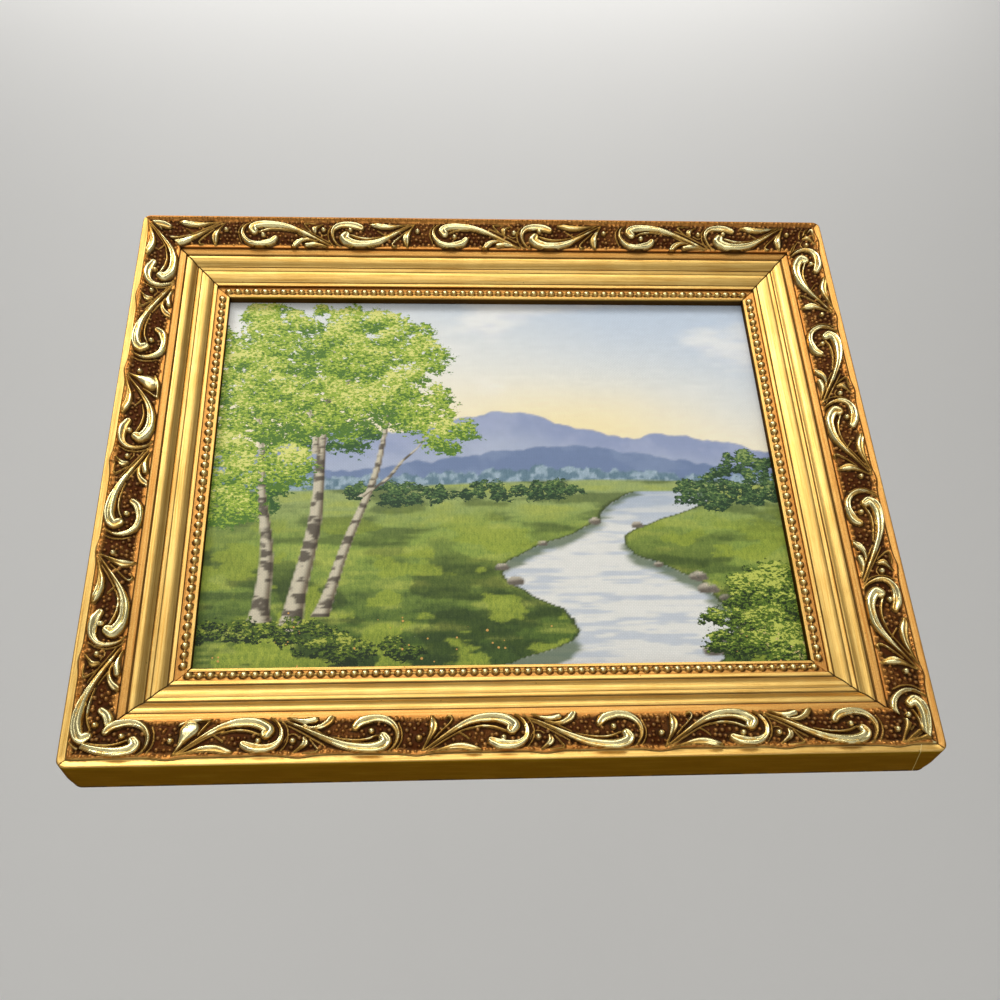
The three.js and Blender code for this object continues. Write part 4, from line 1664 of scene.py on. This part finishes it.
LEAF_TONES = (srgb(50, 74, 32), srgb(110, 140, 52), srgb(200, 208, 100))
FAR_WOODS = (
    Crown(112, -4, 18, 13, 60, 0.8), Crown(92, -12, 14, 7, 34, 0.8), Crown(-6, -11, 12, 3.5, 16, 0.75),
    Crown(22, -10, 14, 4, 20, 0.75), Crown(-40, -12, 24, 5, 34, 0.75),
)
FAR_TONES = (srgb(44, 70, 44), srgb(84, 116, 66), srgb(150, 172, 96))
NEAR_BUSHES = (Crown(112, -62, 18, 12, 50), Crown(98, -78, 22, 8, 40), Crown(118, -86, 14, 8, 26))
NEAR_TONES = (srgb(38, 56, 20), srgb(100, 128, 40), srgb(208, 216, 98))
BACK_BIRCHES = (Crown(-108, 20, 18, 50, 90, 0.62), Crown(-78, 40, 26, 34, 90, 0.62))
BACK_TONES = (srgb(58, 96, 44), srgb(112, 150, 56), srgb(190, 208, 94))
BIRCHES = (
    Crown(-88, 74, 34, 20, 70), Crown(-52, 66, 28, 20, 54), Crown(-106, 40, 18, 22, 44),
    Crown(-38, 36, 20, 14, 30), Crown(-72, 34, 24, 14, 34), Crown(-112, -4, 14, 20, 30),
    Crown(-20, 18, 10, 7, 9), Crown(-90, 2, 12, 7, 9),
)
BIRCH_TONES = (srgb(88, 128, 44), srgb(166, 194, 64), srgb(240, 240, 138))
GRASS = (Crown(-96, -76, 30, 5, 40, 0.8), Crown(-58, -84, 26, 4, 26, 0.9))
GRASS_TONES = (srgb(34, 52, 20), srgb(92, 116, 36), srgb(190, 196, 84))
LIMBS = (
    ((-96, -72), (-104, 30), 3.4), ((-84, -76), (-72, 66), 3.8), ((-74, -70), (-42, 44), 2.6),
    ((-77, 8), (-92, 58), 1.7), ((-75, 30), (-54, 72), 1.4), ((-58, -14), (-30, 18), 1.2),
)


@dataclass
class Landscape:
    """A painted valley: birches on a bank, a river among stones, woods and low hills.

    Places are in millimetres from the picture's middle, x to the right and z up. Each method lays
    one layer over what is there.
    """

    half_height: float
    x: Array
    z: Array
    stones: int = 150
    stone_seed: int = 54
    stone_reach: float = 3.5

    def __post_init__(self) -> None:
        """Starts with no picture."""
        count = len(self.x)
        self.colour = np.zeros((count, 3))
        self.values = {name: np.zeros(count) for name in ("dabs", "leaf_mass", "leaf_light", "bloom")}
        self.leaf = [np.tile(np.array(tone[:3]), (count, 1)) for tone in LEAF_TONES]

    def over(self, share: Array, red: int, green: int, blue: int) -> None:
        """Lays an sRGB colour over the picture, as well as the share covers at each place."""
        tone, share = np.array(srgb(red, green, blue)[:3]), share[:, None]
        self.colour = self.colour * (1 - share) + tone * share

    def cloud(self, size: float, octaves: int, seed: int, squeeze: float = 1.0) -> Array:
        """Cloudy noise over the picture, stretched across by the squeeze."""
        return cloudy(self.x / squeeze, self.z, size, octaves, seed)

    def crest(self, size: float, octaves: int, seed: int) -> Array:
        """Cloudy noise that is the same all the way up the picture."""
        return cloudy(self.x, self.x * 0, size, octaves, seed)

    def paint(self) -> dict[str, Array]:
        """Paints the picture, back to front.

        Returns:
            The colours and values that the paint's finish reads, by name.
        """
        self.sky()
        self.hills()
        self.fields()
        self.river()
        self.foreground()
        self.foliage(FAR_WOODS, 3.0, FAR_TONES, 301)
        self.foliage(NEAR_BUSHES, 5.0, NEAR_TONES, 321)
        self.foliage(BACK_BIRCHES, 6.0, BACK_TONES, 341)
        for foot, top, half in LIMBS:
            self.limb(foot, top, half)
        self.foliage(BIRCHES, 6.5, BIRCH_TONES, 361)
        self.foliage(GRASS, 3.4, GRASS_TONES, 381)
        leaf = dict(zip(("leaf_dark", "leaf_mid", "leaf_bright"), self.leaf))
        return {"paint": self.colour, **leaf, **self.values}

    def sky(self) -> None:
        """Cream at the horizon, through pale grey, to soft blue, with banks of cloud by noise."""
        x, z = self.x, self.z
        bent = z + 16 * (self.cloud(60.0, 3, 4) - 0.5)
        self.over(np.ones(len(x)), 252, 240, 206)
        self.over(smoothstep(6, 60, bent + 0.12 * x), 240, 238, 226)
        self.over(smoothstep(34, 112, bent + 0.24 * x) * 0.95, 196, 210, 226)
        self.over(0.7 * bell((x - 30) / 56) * bell((z - 18) / 24), 255, 234, 168)
        cloud = self.cloud(24.0, 5, 5, 2.6)
        bank = smoothstep(0.5, 0.7, cloud) * smoothstep(20, 56, z)
        lower = cloudy(x / 2.6, z + 4.0, 24.0, 5, 5)
        self.over(0.6 * bank, 252, 249, 240)
        self.over(0.45 * bank * smoothstep(0.0, 0.1, lower - cloud), 206, 208, 222)
        self.values["dabs"] += 0.012

    def hills(self) -> None:
        """Three lines of hills, each a sum of sines with noise on its crest, paler with distance."""
        x, z = self.x, self.z
        far = 17 + 8 * np.sin((x + 58) / 37) + 3.2 * np.sin(x / 13 + 1.1) + 5 * self.crest(9, 4, 21)
        near = 4.0 + 6 * np.sin((x - 46) / 31 + 2.2) + 4 * self.crest(7, 4, 22)
        woods = -4.5 + 2.6 * np.sin((x + 10) / 24) + 6.5 * self.crest(4.0, 4, 23)
        slopes = smoothstep(0.45, 0.7, cloudy(x + 0.7 * z, z - 0.4 * x, 13.0, 4, 24))
        far_hill, near_hill = smoothstep(-0.6, 0.6, far - z), smoothstep(-0.6, 0.6, near - z)
        self.over(far_hill, 148, 160, 192)
        self.over(far_hill * slopes * 0.5, 176, 184, 208)
        self.over(smoothstep(4, 20, far - z) * 0.55 * (z > near - 1), 190, 198, 212)
        self.over(near_hill, 116, 134, 168)
        self.over(near_hill * slopes * 0.4, 142, 158, 186)
        wooded = smoothstep(-0.5, 0.5, woods - z)
        self.over(wooded, 98, 124, 138)
        self.over(wooded * smoothstep(0.42, 0.6, self.cloud(3.0, 3, 25)) * 0.55, 176, 194, 206)
        rough = 0.2 * wooded + 0.02 * smoothstep(-1, 1, far - z)
        self.values["dabs"] = np.maximum(self.values["dabs"], rough)

    def fields(self) -> None:
        """Fields that darken towards the viewer, streaked by noise that is stretched across."""
        top = -8 + 2.5 * np.sin(self.x / 46 + 0.6)
        land = smoothstep(-0.5, 0.5, top - self.z)
        depth = np.clip((top - self.z) / (top + self.half_height), 0, 1)
        streaks = self.cloud(5.0, 4, 41, 4.5)
        self.over(land, 150, 164, 100)
        self.over(land * smoothstep(0.02, 0.3, depth), 132, 152, 66)
        self.over(land * smoothstep(0.25, 0.85, depth), 72, 94, 34)
        self.over(land * smoothstep(0.5, 0.7, streaks) * 0.6, 164, 172, 76)
        self.over(land * smoothstep(0.5, 0.32, streaks) * 0.6, 48, 68, 30)
        self.values["dabs"] = np.where(land > 0.5, 0.16 + 0.3 * depth, self.values["dabs"])

    def river_line(self, x: Array, z: Array) -> tuple[Array, Array]:
        """Distance inside the banks: a bending middle line and a half width that grow nearer.

        Args:
            x: Places across.
            z: Places up.

        Returns:
            The distance in from the nearer bank, negative on land, and the nearness from 0 to 1.
        """
        near = np.clip((-11 - z) / 88, 0, 1)
        middle = 64 - 40 * near + 34 * np.sin(8.6 * near**0.7 + 0.9) * (0.25 + 0.75 * near)
        half = 10 + 36 * near**0.9 + 8 * np.sin(13 * near**0.7)
        ragged = (5 + 11 * near) * (cloudy(x / 1.6, z, 9.0, 5, 51) - 0.5)
        return half - np.abs(x - middle) + ragged, near

    def river(self) -> None:
        """Pale water with level ripples, darker under its banks, and stones at the water's edge."""
        x, z = self.x, self.z
        inside, near = self.river_line(x, z)
        open_land = smoothstep(-0.5, 0.5, -11.5 - z)
        water = smoothstep(-0.4, 0.4, inside) * open_land
        ripples = self.cloud(1.9, 3, 52, 9.0)
        bank, _ = self.river_line(x, z + 2.5 + 5 * near)
        mirrored = 1 - smoothstep(-3.0, 3.0, bank + 7 * (ripples - 0.5))
        self.over(smoothstep(-3.0, -0.4, inside) * open_land * 0.9, 50, 62, 28)
        self.over(water, 230, 229, 222)
        self.over(water * smoothstep(0.46, 0.66, ripples) * 0.55, 168, 182, 202)
        self.over(water * (1 - smoothstep(0.0, 0.25, near)) * 0.5, 150, 168, 190)
        self.over(water * mirrored * 0.85, 84, 104, 70)
        self.values["dabs"] = np.where(water > 0.5, 0.025, self.values["dabs"])
        draws = np.random.default_rng(self.stone_seed)
        for _ in range(self.stones):
            sz = -24 - 70 * draws.random() ** 0.8
            sx = draws.uniform(-60, 110)
            if abs(float(self.river_line(np.array([sx]), np.array([sz]))[0][0])) > self.stone_reach:
                continue
            size = draws.uniform(1.2, 2.6) * (0.5 + (-sz) / 90)
            a, b = (x - sx) / (1.7 * size), (z - sz) / size
            body = np.hypot(a, b + 0.25 * a * a) + 0.35 * (self.cloud(2.4, 2, 55) - 0.5)
            body = 1 - smoothstep(0.8, 1.05, body)
            self.over(body, 104, 96, 84)
            self.over(body * smoothstep(-0.2, 0.7, b - 0.3 * a), 190, 180, 160)

    def foreground(self) -> None:
        """Dark grass on the near bank, a worn path at the right, and flowers towards the viewer."""
        x, z = self.x, self.z
        inside, _ = self.river_line(x, z)
        land = smoothstep(1.0, 4.0, -inside)
        shade = smoothstep(0.46, 0.54, self.cloud(13.0, 5, 71, 1.8)) * smoothstep(14.0, 60.0, -z)
        self.over(shade * land * 0.62, 38, 54, 20)
        bright = smoothstep(0.53, 0.59, self.cloud(7.0, 5, 74, 2.2)) * smoothstep(10.0, 40.0, -z)
        self.over(bright * land * 0.75, 138, 152, 52)
        path = -64 - 0.30 * (x - 60) + 4 * np.sin(x / 11) - 9 * (self.crest(22.0, 2, 75) - 0.5)
        reach = np.abs(z - path) / (2.4 + 0.05 * np.clip(x - 40, 0, 90))
        reach = reach + 0.9 * (self.cloud(4.0, 4, 72, 2.5) - 0.5)
        worn = (1 - smoothstep(0.55, 1.2, reach)) * (x > 20)
        self.over(worn * land * 0.9, 226, 204, 138)
        self.values["dabs"] = np.where(land * worn > 0.5, 0.12, self.values["dabs"])
        patch = smoothstep(0.46, 0.62, self.cloud(12.0, 3, 73))
        self.values["bloom"] = 0.35 * patch * smoothstep(52.0, 88.0, -z) * smoothstep(3.0, 6.0, -inside)

    def foliage(self, crowns: tuple[Crown, ...], fan: float, tones: tuple[Colour, ...], seed: int) -> None:
        """Fills crowns with drooping fans of leaves, the lower ones over the upper ones.

        With a and b the distances across and up from a fan's middle over its size, a fan is where
        the length of (a, b + a^2 / 2) is below 1, and its light grows upward and to the left.

        Args:
            crowns: The ellipses to fill.
            fan: Size of a fan.
            tones: Dark, middle and bright leaf colours.
            seed: Picks the fans' places.
        """
        draws = np.random.default_rng(seed)
        wave_x = self.x + 0.9 * fan * (self.cloud(1.6 * fan, 3, seed + 1) - 0.5)
        wave_z = self.z + 0.9 * fan * (self.cloud(1.6 * fan, 3, seed + 2) - 0.5)
        mass, light = self.values["leaf_mass"], self.values["leaf_light"]
        for crown in crowns:
            turn = draws.uniform(0, 2 * math.pi, crown.fans)
            reach = np.sqrt(draws.random(crown.fans))
            places = np.stack([reach * np.cos(turn), reach * np.sin(turn)], axis=1)
            for across, up in places[np.argsort(-places[:, 1])]:
                size = fan * draws.uniform(0.6, 1.25)
                a = (wave_x - crown.across - across * crown.half_width) / (1.5 * size)
                b = (wave_z - crown.up - up * crown.half_height) / size
                near = (np.abs(a) < 1.3) & (np.abs(b) < 1.6)
                a, b = a[near], b[near]
                full = 1 - smoothstep(0.35, 1.25, np.hypot(a, b + 0.5 * a * a))
                own = np.clip(0.42 + 0.62 * b - 0.16 * a + draws.normal(0, 0.12), 0, 1)
                own = own * crown.light * (0.75 + 0.25 * up)
                light[near] = light[near] * (1 - full) + own * full
                mass[near] = np.maximum(mass[near], full * draws.uniform(0.75, 1.0))
                for layer, tone in zip(self.leaf, tones):
                    layer[near] = np.where((full > 0.05)[:, None], np.array(tone[:3]), layer[near])

    def limb(self, foot: tuple[float, float], top: tuple[float, float], half: float) -> None:
        """A trunk or branch that tapers and bends, pale with dark marks, shaded on its right.

        Args:
            foot: Place of its lower end.
            top: Place of its upper end.
            half: Half its width at the foot.
        """
        x, z = self.x, self.z
        t = np.clip((z - foot[1]) / (top[1] - foot[1]), 0, 1)
        line = foot[0] + (top[0] - foot[0]) * t + 2.2 * np.sin(3.4 * t) + 0.8 * np.sin(11 * t + foot[0])
        width = half * (1 - 0.78 * t) + 0.5 * half * np.exp(-t * 22)
        shown = smoothstep(-0.3, 0.3, width - np.abs(x - line)) * (z > foot[1]) * (z < top[1])
        side = (x - line) / np.maximum(width, 0.1)
        marks = smoothstep(0.5, 0.62, self.cloud(2.4, 3, 63, 2.6))
        self.over(shown, 206, 196, 170)
        self.over(shown * smoothstep(-0.1, 0.9, side), 104, 90, 68)
        self.over(shown * marks * 0.85, 60, 50, 38)
        for name in ("leaf_mass", "leaf_light"):
            self.values[name] = self.values[name] * (1 - shown)
        self.values["dabs"] = np.where(shown > 0.5, 0.05, self.values["dabs"])


@dataclass
class Painting:
    """Canvas board with an oil painting on its face."""

    step: float = 0.76
    margin: float = 12.0
    canvas_thickness: float = 0.35
    cut_slope: float = 0.15
    under_canvas: float = 1.0
    edge_round: float = 0.5
    impasto: float = 0.16

    def build(self, paint: Material, board: Material) -> Piece:
        """Makes the board: a grid on the face, rings over its edges, and a flat back.

        Args:
            paint: Finish of the face.
            board: Finish of the edges and the back.

        Returns:
            The painting.
        """
        low, high = cad_size("painting")
        middle, half = (low + high) / 2, (high - low) / 2
        columns, rows = round(2 * half[0] / self.step), round(2 * half[2] / self.step)
        across, up = np.linspace(-1, 1, columns + 1) * half[0], np.linspace(-1, 1, rows + 1) * half[2]
        x, z = np.meshgrid(across, up)
        values = Landscape(half[2], x.ravel(), z.ravel()).paint()
        paste = np.clip(values["dabs"].reshape(x.shape) * 2.2, 0.15, 1)
        thick = self.impasto * cloudy(x, z, 2.6, 2, 81) * paste
        rim = np.minimum(half[0] - np.abs(x), half[2] - np.abs(z))
        out = thick * smoothstep(0.0, 8.0, rim) - self.edge_round * (1 - smoothstep(0.0, 1.2, rim))
        face = np.stack([middle[0] + x, low[1] - out, middle[2] + z], axis=-1).reshape(-1, 3)
        number = np.arange((rows + 1) * (columns + 1)).reshape(rows + 1, columns + 1)
        quads = np.stack([number[:-1, :-1], number[:-1, 1:], number[1:, 1:], number[1:, :-1]], axis=-1)
        quads = quads.reshape(-1, 4)
        before = np.concatenate([number[0, :-1], number[:-1, -1], number[-1, :0:-1], number[:0:-1, 0]])
        rings = [self.ring(face[before], middle, half, *ring) for ring in self.ring_places(high[1])]
        points = np.concatenate([face, *rings])
        count = len(before)
        joined = []
        for i in range(len(rings)):
            after = len(face) + i * count + np.arange(count)
            joined.append(np.stack([before, after, np.roll(after, -1), np.roll(before, -1)], axis=1))
            before = after
        all_quads = np.concatenate([quads, *joined])
        face_material = np.arange(len(all_quads) + 1) >= len(quads)
        cap = [before.tolist()[::-1]]
        piece = make_piece("oil_painting", points, all_quads, cap, [paint, board], face_material)
        extra = len(points) - len(face)
        for name, value in values.items():
            if value.ndim == 2:
                store(piece, name, np.vstack([value, np.full((extra, 3), 0.5)]), "FLOAT_COLOR")
            else:
                store(piece, name, np.concatenate([value, np.zeros(extra)]))
        on_canvas = np.arange(len(points)) < len(face) + 3 * count
        store(piece, "margin", on_canvas)
        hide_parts("painting")
        return piece

    def ring_places(self, back: float) -> list[tuple[float, float]]:
        """Depth and inset of each ring round the board, from its edge to its back.

        Args:
            back: Place of the board's back in Y.

        Returns:
            Pairs of a place in Y and a distance in from the edge.
        """
        recessed = back - self.canvas_thickness
        return [
            (back - self.edge_round, 0.0),
            (back, self.edge_round),
            (back, self.margin),
            (recessed, self.margin + self.cut_slope),
            (recessed, self.margin + self.under_canvas),
        ]

    def ring(self, start: Array, middle: Array, half: Array, depth: float, inset: float) -> Array:
        """Rim points scaled towards the middle by the inset and set at a depth.

        Args:
            start: The rim's points.
            middle: The board's middle.
            half: Half its size.
            depth: The ring's place in Y.
            inset: How far it lies in from the edge.

        Returns:
            The ring's points.
        """
        ring = middle + (start - middle) * (1 - inset / half)
        ring[:, 1] = depth
        return ring


@dataclass
class Hardware:
    """The sawtooth hanger and the points that hold the board."""

    arris: float = 0.18
    weld_reach: float = 0.01
    arris_angle: float = 35.0

    def build(self, hanger: Material, points: Material) -> Piece:
        """Rounds the hanger's arrises on a merged copy of its solid, and dresses the points.

        Args:
            hanger: Finish of the hanger.
            points: Finish of the points.

        Returns:
            The hanger.
        """
        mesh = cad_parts["hanger"].data.copy()
        mesh.name = "sawtooth_hanger"
        mesh.materials.clear()
        mesh.materials.append(hanger)
        piece = bpy.data.objects.new("sawtooth_hanger", mesh)
        bpy.context.scene.collection.objects.link(piece)
        piece.modifiers.new("weld", "WELD").merge_threshold = self.weld_reach * MM
        bevel = piece.modifiers.new("arris", "BEVEL")
        bevel.width = self.arris * MM
        bevel.segments = 2
        bevel.limit_method = "ANGLE"
        bevel.angle_limit = math.radians(self.arris_angle)
        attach(piece, BODY)
        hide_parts("hanger")
        for name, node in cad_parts.items():
            if "_point_" in name:
                node.data.materials.clear()
                node.data.materials.append(points)
        return piece


@dataclass(frozen=True)
class Panel:
    """A rectangular light that faces a point, with its power in watts."""

    name: str
    place: Triple
    target: Triple
    width: float
    height: float
    power: float

    def build(self) -> None:
        """Adds the light."""
        light = bpy.data.lights.new(self.name, "AREA")
        light.shape = "RECTANGLE"
        light.size, light.size_y = self.width * MM, self.height * MM
        light.energy = self.power
        lamp = bpy.data.objects.new(self.name, light)
        lamp.location = Vector(self.place) * MM
        way = Vector(self.target) - Vector(self.place)
        lamp.rotation_euler = way.to_track_quat("-Z", "Y").to_euler()
        bpy.context.scene.collection.objects.link(lamp)


FACE = (0.0, 0.0, -120.0)
PANELS = (
    Panel("key_panel", (-950.0, -1300.0, 1350.0), FACE, 600.0, 600.0, 13.0),
    Panel("soft_panel", (100.0, -1700.0, 1400.0), FACE, 1500.0, 1300.0, 15.4),
    Panel("front_panel", (-150.0, -2300.0, -150.0), FACE, 1300.0, 1400.0, 9.6),
    Panel("fill_panel", (1700.0, -1300.0, -300.0), FACE, 900.0, 1200.0, 1.3),
    Panel("wall_wash", (0.0, 900.0, 3000.0), (0.0, 1500.0, 900.0), 3000.0, 700.0, 22.0),
)


@dataclass
class Studio:
    """Floor and wall of a pale room, soft lights, and the camera at the photo's angle."""

    floor_z: float = -1450.0
    front_y: float = -3200.0
    wall_y: float = 1500.0
    wall_top: float = 3400.0
    half_span: float = 4200.0
    sweep: float = 700.0
    sweep_points: int = 17
    camera_place: Triple = (-32.89, -441.21, -401.42)
    camera_heading: float = 4.475
    camera_pitch: float = 31.681
    camera_roll: float = -2.623
    lens: float = 43.02
    sensor: float = 36.0
    clip: tuple[float, float] = (0.01, 30.0)
    air_colour: Colour = (1.0, 0.985, 0.96, 1.0)
    air_strength: float = 0.2

    def build(self) -> None:
        """Makes the room, the lights and the camera."""
        self.build_room()
        for panel in PANELS:
            panel.build()
        self.build_air()
        self.build_camera()

    def build_room(self) -> None:
        """A floor that turns up into the wall by a quarter circle, as one sheet."""
        turn = np.linspace(0, math.pi / 2, self.sweep_points)
        back = self.wall_y - self.sweep + self.sweep * np.sin(turn)
        rise = self.floor_z + self.sweep * (1 - np.cos(turn))
        y = np.concatenate([[self.front_y], back, [self.wall_y]])
        z = np.concatenate([[self.floor_z], rise, [self.wall_top]])
        count = len(y)
        left = np.stack([np.full(count, -self.half_span), y, z], axis=1)
        right = left * np.array([-1.0, 1.0, 1.0])
        i = np.arange(count - 1)
        quads = np.stack([i, i + count, i + count + 1, i + 1], axis=1)
        room = make_piece("studio_room", np.vstack([left, right]), quads, [], [StudioPlaster().material()])

    def build_air(self) -> None:
        """Pale light from all round."""
        world = bpy.data.worlds.new("studio_air")
        world.use_nodes = True
        air = world.node_tree.nodes["Background"]
        air.inputs["Color"].default_value = self.air_colour
        air.inputs["Strength"].default_value = self.air_strength
        bpy.context.scene.world = world
        bpy.context.scene.view_settings.view_transform = "Standard"

    def build_camera(self) -> None:
        """Sets the camera by its heading from +Y, its pitch above the horizon and its roll."""
        data = bpy.data.cameras.new("photo_camera")
        data.lens = self.lens
        data.sensor_width = self.sensor
        data.clip_start, data.clip_end = self.clip
        camera = bpy.data.objects.new("photo_camera", data)
        heading = Matrix.Rotation(math.radians(-self.camera_heading), 4, "Z")
        pitch = Matrix.Rotation(math.radians(90 + self.camera_pitch), 4, "X")
        roll = Matrix.Rotation(math.radians(self.camera_roll), 4, "Z")
        place = Matrix.Translation(Vector(self.camera_place) * MM)
        camera.matrix_world = place @ heading @ pitch @ roll
        bpy.context.scene.collection.objects.link(camera)
        bpy.context.scene.camera = camera


def main() -> None:
    """Builds the framed painting and its studio, and reports each piece."""
    logging.basicConfig(level=logging.INFO, format="%(message)s")
    effects = SharedEffects()
    gilding = Gilding(effects).material()
    wood = BareWood(effects).material()
    moulding = Moulding()
    place = FramePlace.read(moulding)
    for side in Side:
        piece = Rail(side, place, moulding).build(gilding, wood)
        log.info("%s: %d faces", piece.name, len(piece.data.polygons))
    painting = Painting().build(OilPaint(effects).material(), CanvasBoard(effects).material())
    log.info("%s: %d faces", painting.name, len(painting.data.polygons))
    brass = PlatedSteel(effects, "brassed_steel", srgb(212, 184, 120), srgb(150, 124, 76))
    zinc = PlatedSteel(effects, "zinc_steel", srgb(186, 188, 192), srgb(128, 130, 134))
    hanger = Hardware().build(brass.material(), zinc.material())
    log.info("%s and its points", hanger.name)
    Studio().build()


if __name__ == "__main__":
    main()
